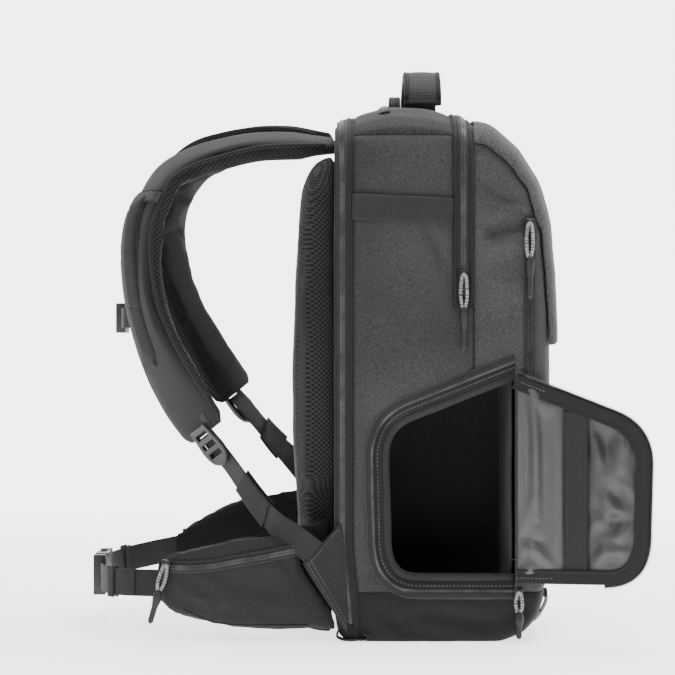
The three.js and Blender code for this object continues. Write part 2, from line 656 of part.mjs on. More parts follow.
function finStations(rows, side, tilt, thick, steps = 10) {
  const span = fin.rootTop - fin.rootFoot;
  const table = rows.map((row) => {
    const rise = riseAt(tilt, row.reach);
    const foot = fin.rootFoot + row.foot * span + rise;
    const top = fin.rootFoot + row.top * span + rise;
    return {
      at: new THREE.Vector3(finX(row.reach), side * row.across * fin.side, (foot + top) / 2),
      width: top - foot,
      thick: thick * (row.thick ?? 1),
    };
  });
  return follow(table, steps).map((s) => (
    { ...s, across: new THREE.Vector3(0, 0, 1), along: s.along.setZ(0).normalize() }));
}
const finRoot = fin.thick; // how far the root is carried on, before it is cut at the back
const wingTip = bag.back - hipWing.reach;
const wingLoop = (tilt) => [
  [wingTip, hipWing.tipHeight + tilt / 2], [bag.back + hipWing.footShift, hipWing.foot],
  [bag.back + 8, hipWing.tipHeight], [bag.back + 5, hipWing.top + tilt],
];
function wing(side, tilt) {
  const [inner, outer] = [halfWidth - 1, sideFace + 2];
  const plate = side > 0 ? prism(wingLoop(tilt), inner, outer) : prism(wingLoop(tilt), -outer, -inner);
  return plate.subtract(bagCut);
}
const wingCut = (tilt) => prism(offsetLoop(wingLoop(tilt), gap));
const beyondWing = (tilt) => prism([
  [frameRear, -farTop], [bag.back + hipWing.footShift + 1, -farTop],
  [bag.back + hipWing.footShift - 0.5, hipWing.foot - 2.8],
  [wingTip - 0.5, hipWing.tipHeight + tilt / 2], [wingTip - 0.5, farTop], [frameRear, farTop],
]);
const behindBack = box(frameRear, bag.back - gap, -bag.width, bag.width, -bag.height, farTop);
const hipFin = (side, tilt) => (
  sweep(extended(finStations(finRows, side, tilt, fin.thick), finRoot, 0), finSection).intersect(behindBack));

function pocketForm(side, tilt, grow) {
  const cut = sweep(extended(finStations(finRows, side, tilt, fin.thick + 2 * gap), finRoot, 0)
    .map((s) => ({ ...s, width: s.width + 3 * pocket.thick })), roundSection(8, 6));
  const reachIn = side * fin.side * 0.88;
  const inward = box(frameRear, farFront, Math.min(0, reachIn), Math.max(0, reachIn), -farTop, farTop);
  return sweep(finStations(pocketRows, side, tilt, pocket.thick), pocketSection, { grow })
    .subtract(cut)
    .subtract(inward)
    .subtract(bagCut)
    .intersect(beyondWing(tilt));
}
const hipPocket = (side, tilt, web) => (
  pocketForm(side, tilt, 0).subtract(sweep(extended(web, gap), flatSection, { grow: gap })));

// The pocket's zip, a curved tape on its outer face.
const hipZip = { tipShare: 0.92, rootShare: 0.2, tipTopShare: 0.62, rootTopShare: 0.775, width: 10 };
function hipZipTape(side, tilt, web) {
  const span = fin.rootTop - fin.rootFoot;
  const at = (share) => {
    const reach = hipZip.rootShare + share * (hipZip.tipShare - hipZip.rootShare);
    const dip = 0.03 * Math.sin(Math.PI * share);
    const top = hipZip.rootTopShare + share * (hipZip.tipTopShare - hipZip.rootTopShare) - dip;
    const rise = riseAt(tilt, reach);
    return [finX(reach), fin.rootFoot + top * span + rise];
  };
  const line = [1, 0.75, 0.5, 0.25, 0].map(at);
  const loop = [...line.map(([x, z]) => [x, z - hipZip.width]), ...line.reverse()];
  const [low, high] = [Math.min(0, side) * bag.width, Math.max(0, side) * bag.width];
  const outside = box(frameRear, farFront, low, high, 0, farTop)
    .subtract(box(frameRear, farFront, -fin.side * 0.9, fin.side * 0.9, 0, farTop));
  return pocketForm(side, tilt, gap + tapeThickness)
    .subtract(pocketForm(side, tilt, gap))
    .intersect(prism(loop))
    .intersect(outside)
    .subtract(sweep(extended(web, gap), flatSection, { grow: gap }));
}

function hipPullPlace(side, tilt) {
  const span = fin.rootTop - fin.rootFoot;
  return {
    x: finX(hipZip.tipShare),
    y: side * (fin.side * 0.99 + slider.thick),
    z: fin.rootFoot + hipZip.tipTopShare * span + riseAt(tilt, hipZip.tipShare) - hipZip.width / 2,
  };
}

// The belt's webbing runs from each tip to the buckle in front of the wearer.
const beltRows = {
  left: [
    { reach: 0, across: 0.86 }, { reach: 0.3, across: 0.83 }, { reach: 0.62, across: 0.76 },
    { reach: 0.88, across: 0.54 }, { reach: 0.98, across: 0.3 },
  ],
  right: [
    { reach: 0, across: 0.86 }, { reach: 0.35, across: 0.82 }, { reach: 0.68, across: 0.72 },
    { reach: 0.9, across: 0.5 }, { reach: 0.98, across: 0.3 },
  ],
};
const finTip = finX(finRows.at(-1).reach);
function beltStations(rows, side, lift) {
  const tipAcross = finRows.at(-1).across * fin.side;
  return follow(rows.map((row) => ({
    at: new THREE.Vector3(
      finTip - row.reach * belt.reach,
      side * (row.across / rows[0].across) * tipAcross,
      belt.level + lift * (1 - row.reach),
    ),
    width: belt.height,
    thick: belt.thick,
  })), 12).map((s) => ({ ...s, across: new THREE.Vector3(0, 0, 1) }));
}
const beltEnd = finTip - belt.reach;
const leftBelt = beltStations(beltRows.left, -1, 0);
const rightBelt = beltStations(beltRows.right, 1, 12);

// A side-release buckle across the mid-plane, facing away from the bag.
function buckle({ width, height, thick }, x, z) {
  const bevel = 1.5;
  const shape = new THREE.Shape();
  const [w, h] = [width / 2 - bevel, height / 2 - bevel];
  shape.moveTo(-w, -h * 0.8);
  shape.quadraticCurveTo(-w * 0.5, -h * 0.85, -w * 0.2, -h);
  shape.lineTo(w * 0.2, -h);
  shape.quadraticCurveTo(w * 0.5, -h * 0.85, w, -h * 0.8);
  shape.lineTo(w, h * 0.8);
  shape.quadraticCurveTo(w * 0.5, h * 0.85, w * 0.2, h);
  shape.lineTo(-w * 0.2, h);
  shape.quadraticCurveTo(-w * 0.5, h * 0.85, -w, h * 0.8);
  const geometry = new THREE.ExtrudeGeometry(shape, {
    depth: thick - 2 * bevel,
    bevelEnabled: true,
    bevelThickness: bevel,
    bevelSize: bevel,
    bevelSegments: 2,
    curveSegments: 4,
  });
  geometry.translate(0, 0, bevel - thick / 2);
  geometry.rotateX(Math.PI / 2);
  geometry.rotateZ(Math.PI / 2);
  geometry.translate(x, 0, z);
  return solid(geometry);
}
const buckleCut = ({ width }, z) => box(
  -3 * bag.depth, bag.back - backPad.depth, -width / 2 - gap, width / 2 + gap, z - 60, z + 60,
);

// The sternum strap bows out between the shoulder straps, from inside each strap's inner edge.

const sternumX = strapAnchorX - strap.reach - sternum.bow;
function sternumStations({ side, stations }) {
  const near = stations.reduce((a, b) => (
    Math.abs(a.at.z - sternum.height) < Math.abs(b.at.z - sternum.height) ? a : b));
  const { across, out } = frameOf(near);
  const from = (inward, lift) => near.at.clone()
    .addScaledVector(across, -side * Math.sign(across.y) * inward)
    .addScaledVector(out, lift)
    .setZ(sternum.height);
  const rows = [
    from(strap.width * 0.3, strap.thick * 0.3),
    from(strap.width * 0.53, strap.thick * 0.75),
    new THREE.Vector3(sternumX + 3, side * sternumBuckle.width * 0.68, sternum.height),
    new THREE.Vector3(sternumX, side * sternumBuckle.width * 0.45, sternum.height),
  ].map((at) => ({ at, width: webbing.narrow, thick: sternum.thick, across: new THREE.Vector3(0, 0, 1) }));
  return follow(rows, 8);
}

// A zip slider with a cord loop bonded into a rubber tip, hanging from it. The slider's face is
// at (x, y, z), its back is cut to the tape that it rides on, and the pull leans by an angle.

function zipPull({ x, y, z }, side, seat, { length = pull.length, lean = 0 } = {}) {
  const shape = new THREE.Shape();
  const [w, l] = [slider.width / 2, slider.length / 2];
  shape.moveTo(-w * 0.6, -l);
  shape.lineTo(w * 0.6, -l);
  shape.lineTo(w, l * 0.3);
  shape.lineTo(w * 0.7, l);
  shape.lineTo(-w * 0.7, l);
  shape.lineTo(-w, l * 0.3);
  const deep = 2 * slider.thick;
  const body = new THREE.ExtrudeGeometry(shape, { depth: deep, bevelEnabled: false });
  body.rotateX(Math.PI / 2);
  body.translate(x, side > 0 ? y : y + deep, z);

  const top = new THREE.Vector3(x, y, z);
  const right = new THREE.Vector3(Math.cos(lean), 0, Math.sin(lean));
  const up = new THREE.Vector3(-Math.sin(lean), 0, Math.cos(lean));
  const at = (a, b) => top.clone().addScaledVector(right, a).addScaledVector(up, -b);
  const rod = (from, to, thick, corners) => sweep(follow([
    { at: from, width: thick, thick, across: Y },
    { at: to, width: thick, thick, across: Y },
  ], 1), roundSection(corners, 2));
  const half = (pull.opening + pull.cord) / 2;
  const knot = pull.loop * length;
  const form = solid(body)
    .add(rod(at(-half - pull.cord / 2, 1), at(half + pull.cord / 2, 1), pull.cord, 5))
    .add(rod(at(-half, 0), at(-pull.cord / 3, knot), pull.cord, 5))
    .add(rod(at(half, 0), at(pull.cord / 3, knot), pull.cord, 5))
    .add(rod(at(0, knot - 3), at(0, length), pull.tip, 6));
  return whole(form.subtract(seat));
}
const pullPlaces = {
  front: { x: frontTapeRear + zipTapeWidth / 2, z: 347 },
  pocket: { x: pocketZip.x + pocketZip.width / 2, z: pocketZip.top - slider.length / 2 },
  port: { x: port.hinge + 3, z: port.sill - 1.5 },
};
const sliderFace = sideFace + tapeThickness + gap + slider.thick;
const zipSeat = bodyForm(tapeThickness + 2 * gap);
const bagPull = (place, side, options) => (
  zipPull({ ...pullPlaces[place], y: side * sliderFace }, side, zipSeat, options));

// Top handle and hang loop

function arch({ x, width, span, rise, thick }, base) {
  const rows = [[-0.5, 0], [-0.47, 0.38], [-0.36, 0.8], [-0.17, 0.97], [0, 1], [0.17, 0.97], [0.36, 0.8],
    [0.47, 0.38], [0.5, 0]].map(([a, b]) => ({
    at: new THREE.Vector3(x, a * span, base + b * (rise - thick / 2)),
    across: new THREE.Vector3(1, 0, 0),
    width,
    thick,
  }));
  return sweep(extended(follow(rows, 12), 10), roundSection(8, 5));
}
const topHeight = heightAt(1) - 1;
const aboveBag = (form) => whole(form.subtract(bagCut));

// Small parts at the foot: the binding loop under the back zip, and the gear loop at the front.

function baseTab() {
  const loop = [
    [bag.back + 1, 0.6], [frameFoot + 6, 0.6], [frameFoot + 6, 8], [bag.back + 12, 8.5], [bag.back + 3, 13],
  ];
  const outer = sideFace + 2;
  return prism(loop, -outer, -halfWidth + 8).subtract(bagCut)
    .intersect(box(frameRear, farFront, -bag.width, -halfWidth + 6, 0, boot.height));
}
const gear = { from: -62, width: 12, cord: 4 };
function gearLoop() {
  const face = depthAt(outline.find((row) => row.at === 'toe high').midX) - 2;
  const middle = gear.from + gear.width / 2;
  const rows = [[4, 36], [3.5, 28], [0, 18], [-5, 10], [-9, 7]].map(([x, z]) => ({
    at: new THREE.Vector3(face + x, middle, z), width: gear.cord, thick: gear.cord, across: Y,
  }));
  return box(face - 6, face + 7, gear.from, gear.from + gear.width, 32, 40)
    .add(sweep(follow(rows, 8), roundSection(6, 2)))
    .subtract(bagCut);
}

// The assembly

const model = new THREE.Group();
model.name = 'camera_backpack';

const finish = {
  shellFabric: { color: 0x46474a, roughness: 0.85, metalness: 0 },
  heather: { color: 0x6a6b6e, roughness: 0.9, metalness: 0 },
  bootFabric: { color: 0x2a2a2c, roughness: 0.8, metalness: 0 },
  lining: { color: 0x707174, roughness: 0.55, metalness: 0 },
  mesh: { color: 0x303133, roughness: 0.95, metalness: 0 },
  strapFabric: { color: 0x3c3d40, roughness: 0.85, metalness: 0 },
  webbing: { color: 0x2c2c2e, roughness: 0.8, metalness: 0 },
  zip: { color: 0x343436, roughness: 0.6, metalness: 0 },
  plastic: { color: 0x3a3b3d, roughness: 0.45, metalness: 0 },
  cord: { color: 0xb9babc, roughness: 0.5, metalness: 0.1 },
};
function addNode(name, manifold, look) {
  const mesh = new THREE.Mesh(geometryOf(manifold), new THREE.MeshStandardMaterial(finish[look]));
  mesh.name = name;
  model.add(mesh);
}

addNode('side_panel_left', panels.sides.intersect(leftHalf).subtract(cutter), 'shellFabric');
addNode('side_panel_right', panels.sides.intersect(rightHalf), 'shellFabric');
addNode('front_shell', panels.front, 'shellFabric');
addNode('top_yoke', panels.yoke, 'heather');
addNode('front_gusset', panels.gusset, 'shellFabric');
addNode('back_frame', panels.frame, 'shellFabric');
addNode('base_boot', panels.boot, 'bootFabric');
addNode('back_zip_tape', backZipTape, 'zip');
addNode('front_zip_tape', frontZipTape, 'zip');
addNode('top_zip_tape', topZipTape, 'zip');
addNode('front_flap', frontFlap, 'heather');
addNode('side_webbing_left', sideWebbing.intersect(leftHalf), 'webbing');
addNode('side_webbing_right', sideWebbing.intersect(rightHalf), 'webbing');
addNode('pocket_zip_left', pocketZipTape.intersect(leftHalf), 'zip');
addNode('pocket_zip_right', pocketZipTape.intersect(rightHalf), 'zip');
addNode('port_zip_tape', portTape, 'zip');
addNode('cell_rim', cellRim, 'lining');
addNode('camera_cell', cameraCell, 'lining');
addNode('port_door', doorPanel, 'lining');
addNode('door_webbing', doorWebbing, 'webbing');
addNode('door_zip_tape', doorTape, 'zip');
addNode('back_pad', harnessPad, 'mesh');
addNode('top_handle', aboveBag(arch(handle, topHeight)), 'webbing');
addNode('hang_loop', aboveBag(arch(hangLoop, topHeight)), 'webbing');
addNode('base_tab', baseTab(), 'webbing');
addNode('gear_loop', whole(gearLoop()), 'webbing');
addNode('belt_buckle', buckle(beltBuckle, beltEnd, belt.level), 'plastic');
addNode('sternum_buckle', buckle(sternumBuckle, sternumX, sternum.height), 'plastic');
addNode('port_zip_pull', bagPull('port', -1, { length: pull.portLength }), 'cord');

straps.forEach((item, k) => {
  const { side, stations, last } = item;
  const name = side < 0 ? 'left' : 'right';
  const web = webs[k];
  const belts = side < 0 ? leftBelt : rightBelt;
  const tilt = finTilt[name];
  const strapCut = sweep(extended(stations, 0, gap), padSection, { grow: gap });
  const finPath = extended(finStations(finRows, side, tilt, fin.thick), 0, gap);
  const finCut = sweep(finPath, finSection, { grow: gap });
  addNode(`strap_pad_${name}`, aboveBag(sweep(extended(stations, 14, 0), padSection)), 'strapFabric');
  addNode(`strap_sleeve_${name}`, strapSleeve(item), 'strapFabric');
  addNode(`ladder_lock_${name}`, ladderLock(last), 'plastic');
  addNode(
    `strap_webbing_${name}`,
    sweep(extended(web, 1, 0), flatSection).subtract(strapCut).subtract(wingCut(tilt)),
    'webbing',
  );
  addNode(`webbing_keeper_${name}`, keeper(web, 6, 8), 'webbing');
  addNode(`hip_fin_${name}`, hipFin(side, tilt), 'mesh');
  addNode(`hip_pocket_${name}`, hipPocket(side, tilt, web), 'strapFabric');
  addNode(`hip_zip_tape_${name}`, whole(hipZipTape(side, tilt, web)), 'zip');
  addNode(`hip_wing_${name}`, wing(side, tilt), 'strapFabric');
  addNode(`hip_webbing_${name}`, sweep(extended(belts, 6, 4), flatSection).subtract(finCut)
    .subtract(buckleCut(beltBuckle, belt.level)), 'webbing');
  addNode(`belt_keeper_${name}`, keeper(belts, 6, 7), 'webbing');
  addNode(
    `sternum_webbing_${name}`,
    sweep(sternumStations(item), flatSection).subtract(strapCut)
      .subtract(buckleCut(sternumBuckle, sternum.height)),
    'webbing',
  );
  addNode(`front_zip_pull_${name}`, bagPull('front', side), 'cord');
  addNode(`pocket_zip_pull_${name}`, bagPull('pocket', side), 'cord');
  const pocketSeat = pocketForm(side, tilt, tapeThickness + 2 * gap).add(finCut);
  addNode(
    `hip_zip_pull_${name}`,
    zipPull(hipPullPlace(side, tilt), side, pocketSeat, { length: pull.hipLength, lean: pull.hipLean }),
    'cord',
  );
});

export default model;
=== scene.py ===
# %% [markdown]
# # A camera backpack, dressed from its frame
# The real object is a padded backpack with a stiff harness: sewn nylon panels, coil zips, webbing,
# spacer mesh and a few moulded clips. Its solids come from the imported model. This lesson gives each of
# them its cloth, seams and small parts. Everything is in metres, +X is the front of the bag, -Y is the
# side with the open port, and the floor is at z = 0.

import math
import random

import bmesh
import bpy
import numpy as np
from mathutils import Matrix, Vector, kdtree, noise
from mathutils.bvhtree import BVHTree


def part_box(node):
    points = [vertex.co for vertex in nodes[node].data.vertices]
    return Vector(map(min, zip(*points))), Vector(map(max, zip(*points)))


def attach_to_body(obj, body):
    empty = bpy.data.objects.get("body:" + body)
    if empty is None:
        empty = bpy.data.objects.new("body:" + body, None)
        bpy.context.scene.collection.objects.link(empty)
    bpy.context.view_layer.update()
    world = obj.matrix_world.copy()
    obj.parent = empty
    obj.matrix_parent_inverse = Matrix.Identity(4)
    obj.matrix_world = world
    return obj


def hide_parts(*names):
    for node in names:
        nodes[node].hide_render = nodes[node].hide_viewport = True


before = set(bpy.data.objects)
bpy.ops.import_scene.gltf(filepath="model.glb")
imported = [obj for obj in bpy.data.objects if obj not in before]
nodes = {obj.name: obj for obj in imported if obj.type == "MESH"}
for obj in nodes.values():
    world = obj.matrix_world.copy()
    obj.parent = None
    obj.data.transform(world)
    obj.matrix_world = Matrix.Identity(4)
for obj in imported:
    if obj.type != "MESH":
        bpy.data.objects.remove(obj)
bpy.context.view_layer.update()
MM = 0.001
random.seed(7)
print("the frame has", len(nodes), "nodes")

# %% [markdown]
# ## Camera, floor and light
# A product photograph is taken from far away with a long lens, so that the sides stay nearly parallel.
# The floor curves up behind the bag into a wall, as a paper sweep does in a studio, which hides the
# horizon. Large area lights give soft edges to the shadows.

# %% Camera
camera_data = bpy.data.cameras.new("camera")
camera_data.sensor_width = 36
camera_data.lens = 112.3
camera = bpy.data.objects.new("camera", camera_data)
camera.location = (-0.0926, -2.150, 0.2893)
camera.rotation_euler = (math.pi / 2, 0, 0)
bpy.context.scene.collection.objects.link(camera)
bpy.context.scene.camera = camera
print("the camera stands", round(-camera.location.y, 2), "m from the bag's middle")

# %% World and lights
world = bpy.data.worlds.new("studio")
world.use_nodes = True
sky = world.node_tree.nodes["Background"]
sky.inputs["Color"].default_value = (1, 1, 1, 1)
sky.inputs["Strength"].default_value = 0.32
bpy.context.scene.world = world


def softbox(name, place, target, size, watts):
    light = bpy.data.lights.new(name, "AREA")
    light.shape = "RECTANGLE"
    light.size, light.size_y = size
    light.energy = watts
    box = bpy.data.objects.new(name, light)
    box.location = place
    aim = Vector(target) - Vector(place)
    box.rotation_euler = aim.to_track_quat("-Z", "Y").to_euler()
    bpy.context.scene.collection.objects.link(box)
    return box


softbox("key_light", (-1.3, -2.2, 2.3), (0, 0, 0.25), (1.4, 1.4), 40)
softbox("top_light", (0.2, 0.1, 2.3), (0, 0, 0.3), (1.5, 1.3), 92)
softbox("rim_light", (2.1, 0.2, 1.2), (0.05, 0, 0.3), (0.8, 1.6), 8)
print("three soft boxes")

# %% [markdown]
# ## Finishes
# A finish is a small node tree. Writing it node by node is slow to read, so a socket is wrapped in a
# class whose operators add Math nodes: `1 - mask` or `height * 0.3` then reads as plain arithmetic.
# Patterns read the Object coordinates in metres, or the piece's own UV map, also in metres, where they
# have to follow a bent strip.

# %% A socket that can be calculated with
class Value:
    def __init__(self, tree, socket):
        self.tree = tree
        self.socket = socket

    def maths(self, operation, *others):
        node = self.tree.nodes.new("ShaderNodeMath")
        node.operation = operation
        for k, item in enumerate((self, *others)):
            if isinstance(item, Value):
                self.tree.links.new(item.socket, node.inputs[k])
            else:
                node.inputs[k].default_value = item
        return Value(self.tree, node.outputs[0])

    def __add__(self, other):
        return self.maths("ADD", other)

    def __sub__(self, other):
        return self.maths("SUBTRACT", other)

    def __mul__(self, other):
        return self.maths("MULTIPLY", other)

    def __rsub__(self, other):
        return (self * -1).maths("ADD", other)

    __radd__ = __add__
    __rmul__ = __mul__

    def sine(self):
        return self.maths("SINE")

    def size(self):
        return self.maths("ABSOLUTE")

    def step(self, low, high):
        node = self.tree.nodes.new("ShaderNodeMapRange")
        node.interpolation_type = "SMOOTHSTEP"
        node.inputs["From Min"].default_value = low
        node.inputs["From Max"].default_value = high
        self.tree.links.new(self.socket, node.inputs["Value"])
        return Value(self.tree, node.outputs["Result"])


class Finish:
    def __init__(self, name, roughness=0.8, metallic=0.0, sheen=0.0, specular=0.5):
        self.material = bpy.data.materials.new(name)
        self.material.use_nodes = True
        self.tree = self.material.node_tree
        self.shader = self.tree.nodes["Principled BSDF"]
        self.shader.inputs["Roughness"].default_value = roughness
        self.shader.inputs["Metallic"].default_value = metallic
        self.shader.inputs["Specular IOR Level"].default_value = specular
        self.shader.inputs["Sheen Weight"].default_value = sheen
        self.shader.inputs["Sheen Roughness"].default_value = 0.5

    def node(self, kind, settings=None, **sockets):
        made = self.tree.nodes.new(kind)
        for key, value in (settings or {}).items():
            setattr(made, key, value)
        for key, value in sockets.items():
            socket = made.inputs[key.replace("_", " ")]
            if isinstance(value, Value):
                self.tree.links.new(value.socket, socket)
            else:
                socket.default_value = value
        return made

    def out(self, node, name):
        return Value(self.tree, node.outputs[name])

    def place(self, name="Object"):
        return self.out(self.node("ShaderNodeTexCoord"), name)

    def axes(self, vector):
        split = self.node("ShaderNodeSeparateXYZ", Vector=vector)
        return [self.out(split, axis) for axis in "XYZ"]

    def cloud(self, scale, detail=2.0, vector=None):
        made = self.node("ShaderNodeTexNoise", Scale=scale, Detail=detail)
        self.tree.links.new((vector or self.place()).socket, made.inputs["Vector"])
        return self.out(made, "Fac")

    def blend(self, factor, first, second):
        mixed = self.node("ShaderNodeMix", {"data_type": "RGBA"})
        self.tree.links.new(factor.socket, mixed.inputs["Factor"])
        for slot, colour in ((6, first), (7, second)):
            if isinstance(colour, Value):
                self.tree.links.new(colour.socket, mixed.inputs[slot])
            else:
                mixed.inputs[slot].default_value = (*colour, 1)
        return Value(self.tree, mixed.outputs[2])

    def colour(self, value):
        self.tree.links.new(value.socket, self.shader.inputs["Base Color"])

    def rough(self, value):
        self.tree.links.new(value.socket, self.shader.inputs["Roughness"])

    def glow(self, value, strength):
        self.tree.links.new(value.socket, self.shader.inputs["Emission Color"])
        self.shader.inputs["Emission Strength"].default_value = strength

    def bump(self, height, depth, strength=1.0):
        made = self.node("ShaderNodeBump", Height=height, Distance=depth, Strength=strength)
        self.tree.links.new(made.outputs["Normal"], self.shader.inputs["Normal"])


def grey(value):
    """A neutral colour from a 0 to 255 screen grey."""
    linear = ((value / 255 + 0.055) / 1.055) ** 2.4
    return linear, linear, linear


print("helpers for the finishes are ready")

# %% [markdown]
# ### Woven cloth
# The shell is a plain-woven nylon. Two crossed sine waves make the over and under of the threads, a fine
# noise breaks them up as real yarn does, and a broad noise gives the slow change in tone that makes
# cloth look handled. The heather cloth mixes light and dark yarns, and the base has a diamond weave.

# %% Woven finishes
def woven(name, dark, light, pitch, roughness=0.82, diamond=False, speck=0.35, depth=0.00012, uv=False):
    made = Finish(name, roughness, sheen=0.05, specular=0.3)
    if uv:
        across, along, _ = made.axes(made.place("UV"))
    else:
        x, y, z = made.axes(made.place())
        across, along = x + y, z
    turn = 2 * math.pi / pitch
    if diamond:
        across, along = across + along, across - along
    threads = (across * turn).sine() * (along * turn).sine()
    yarn = made.cloud(1 / (pitch * 1.7), 3.0)
    tone = made.cloud(9, 3.0)
    mixed = threads * 0.22 + (yarn - 0.5) * (2.2 * speck) + (tone - 0.5) * 0.9 + 0.5
    made.colour(made.blend(mixed.step(0, 1), grey(dark), grey(light)))
    made.rough((tone - 0.5) * 0.2 + roughness)
    made.bump(threads * 0.6 + yarn, depth)
    return made.material


shell_cloth = woven("shell_cloth", 30, 70, 0.0010, speck=0.5)
side_cloth = woven("side_cloth", 26, 62, 0.0010, speck=0.5)
heather_cloth = woven("heather_cloth", 26, 74, 0.0010, speck=0.9)
yoke_cloth = woven("yoke_cloth", 12, 48, 0.0010, speck=0.9)
boot_cloth = woven("boot_cloth", 14, 28, 0.0026, diamond=True, speck=0.2, depth=0.0003)
strap_cloth = woven("strap_cloth", 8, 26, 0.0010, speck=0.5)
hip_cloth = woven("hip_cloth", 16, 40, 0.0010, speck=0.5)
binding_cloth = woven("binding_cloth", 18, 30, 0.0007, speck=0.3)
cell_cloth = woven("cell_cloth", 38, 54, 0.0011, roughness=0.9)
pad_cloth = woven("pad_cloth", 24, 40, 0.0008, roughness=0.7)
print("the woven finishes are ready")


# %% Spacer mesh, webbing and lining
def spacer(name, pitch=0.0046, across=(1, 1, 0), along=(0, 0, 1), dark=5, light=46, plain=None):
    """Knitted mesh: rows of small oval holes, painted nearly black as the shade inside them, each row half a
    step on from the last. The two directions of the rows are weights of x, y and z. Where plain gives a mask of
    the place, it is plain cloth."""
    made = Finish(name, 0.85, sheen=0.03, specular=0.25)
    x, y, z = made.axes(made.place())
    across, along = (x * way[0] + y * way[1] + z * way[2] for way in (across, along))
    turn = math.pi / pitch
    one, two = (across + along) * turn, (across - along) * turn
    waves = one.sine().size() * two.sine().size()
    shaded_hole = waves.step(0.30, 0.46)
    knit = made.cloud(1500, 2.0)
    tone = made.cloud(14, 2.0)
    if plain:
        shaded_hole = shaded_hole * (1 - plain(x, y, z))
    ground = made.blend((knit * 0.6 + tone * 0.5).step(0.25, 0.85), grey(light - 18), grey(light))
    if plain:
        woven_ground = made.blend((knit * 0.5 + tone * 0.6).step(0.25, 0.85), grey(26), grey(42))
        ground = made.blend(plain(x, y, z), ground, woven_ground)
    # The holes take the dark colour: painted shade inside each hole.
    made.colour(made.blend(shaded_hole, ground, grey(dark)))
    made.bump((1 - shaded_hole) + knit * 0.2, 0.0011)
    return made.material


def ribbed(name, dark, light, pitch=0.0016, slant=0.9, half=0.0125, roughness=0.7, depth=0.0002):
    """Webbing: a herringbone of diagonal ribs, on the strip's own UV map."""
    made = Finish(name, roughness, sheen=0.04, specular=0.35)
    across, along, _ = made.axes(made.place("UV"))
    middle = (across - half).size()
    ribs = ((along + middle * slant) * (2 * math.pi / pitch)).sine()
    cords = (across * (2 * math.pi / 0.0014)).sine()
    tone = made.cloud(30, 3.0)
    mixed = ribs * 0.2 + cords * 0.12 + (tone - 0.5) * 0.8 + 0.5
    made.colour(made.blend(mixed.step(0, 1), grey(dark), grey(light)))
    made.bump(ribs * 0.5 + cords * 0.5, depth)
    return made.material


def satin(name, dark, light, roughness=0.42):
    """A thin coated lining: fine threads and soft gloss."""
    made = Finish(name, roughness, sheen=0.08, specular=0.6)
    x, y, z = made.axes(made.place())
    fine = (x * (2 * math.pi / 0.0006)).sine() * (z * (2 * math.pi / 0.0006)).sine()
    grain = made.cloud(900, 2.0)
    tone = made.cloud(7, 2.0)
    mixed = fine * 0.1 + (grain - 0.5) * 1.1 + (tone - 0.5) * 1.2 + 0.5
    made.colour(made.blend(mixed.step(0, 1), grey(dark), grey(light)))
    made.rough((grain - 0.5) * 0.2 + roughness)
    made.bump(fine * 0.4 + grain, 0.00008)
    return made.material


def moulded(name, dark, light, roughness=0.5, grain=0.00006):
    """Moulded plastic or rubber: a fine spark texture, duller where it is handled."""
    made = Finish(name, roughness, specular=0.45)
    spark = made.cloud(2600, 2.0)
    tone = made.cloud(60, 3.0)
    made.colour(made.blend(tone.step(0.3, 0.7), grey(dark), grey(light)))
    made.rough((tone - 0.5) * 0.25 + roughness)
    made.bump(spark, grain)
    return made.material


def corded(name, dark, light, diameter, flecks=True):
    """Reflective cord: a silver braid with dark flecks, partly random and partly painted shade in the gaps
    between its strands.
    """
    made = Finish(name, 0.38, specular=0.7)
    around, along, _ = made.axes(made.place("UV"))
    turn = 2 * math.pi / (diameter * 1.1)
    braid = ((along + around) * turn).sine() * ((along - around) * turn).sine()
    tone = made.cloud(420, 2.0)
    # With flecks it is dark where the braid runs low between strands, as painted shade, and in random flecks of
    # tone; without, only random tone.
    strand_shade_and_flecks = (tone * 0.9 + braid * 0.25).step(0.34, 0.5) if flecks else tone.step(0.2, 0.8)
    made.colour(made.blend(strand_shade_and_flecks, grey(dark), grey(light)))
    made.bump(braid, 0.0003)
    return made.material


strap_mesh = spacer("strap_mesh", across=(1, 0, 0))
fine_mesh = spacer("fine_mesh", pitch=0.0040, across=(0, 1, 0), along=(-0.9, 0, 1), dark=4, light=26)


def pad_plain(x, y, z):
    """Plain cloth on the pad's rounded edge and down its middle channel."""
    rounded = (x * -1).step(0.1225, 0.1235) * y.size().step(0.1155, 0.1165)
    channel = (x * -1).step(0.104, 0.105) * (1 - y.size().step(0.0285, 0.0295))
    foot = 1 - z.step(0.1135, 0.1145)
    return (rounded + channel + foot).step(0.4, 0.6)


back_cover = spacer("back_cover", dark=5, light=48, plain=pad_plain)
fin_cover = spacer("fin_cover", pitch=0.0034, dark=5, light=20)
webbing_cloth = ribbed("webbing_cloth", 18, 32)
handle_cloth = ribbed("handle_cloth", 18, 34, pitch=0.002, slant=0, half=0.02)
tape_cloth = ribbed("tape_cloth", 18, 30, pitch=0.0012, slant=0, half=0.005)
lining_satin = satin("lining_satin", 36, 66)
lining_dark = satin("lining_dark", 26, 52)
coil_plastic = moulded("coil_plastic", 48, 80, 0.4)
dark_coil = moulded("dark_coil", 26, 44, 0.42)
clip_plastic = moulded("clip_plastic", 22, 38, 0.46)
black_metal = moulded("black_metal", 14, 24, 0.3)
tip_rubber = moulded("tip_rubber", 14, 26, 0.55)
thread = moulded("thread", 62, 88, 0.7)
dark_thread = moulded("dark_thread", 12, 20, 0.8)
silver_cord = corded("silver_cord", 18, 150, 0.0034)
print("mesh, webbing, lining, plastic and cord finishes are ready")

# %% Floor
sweep_paper = Finish("sweep_paper", 0.95, specular=0.1)
sweep_paper.colour(sweep_paper.blend(sweep_paper.cloud(3).step(0, 1), grey(232), grey(236)))
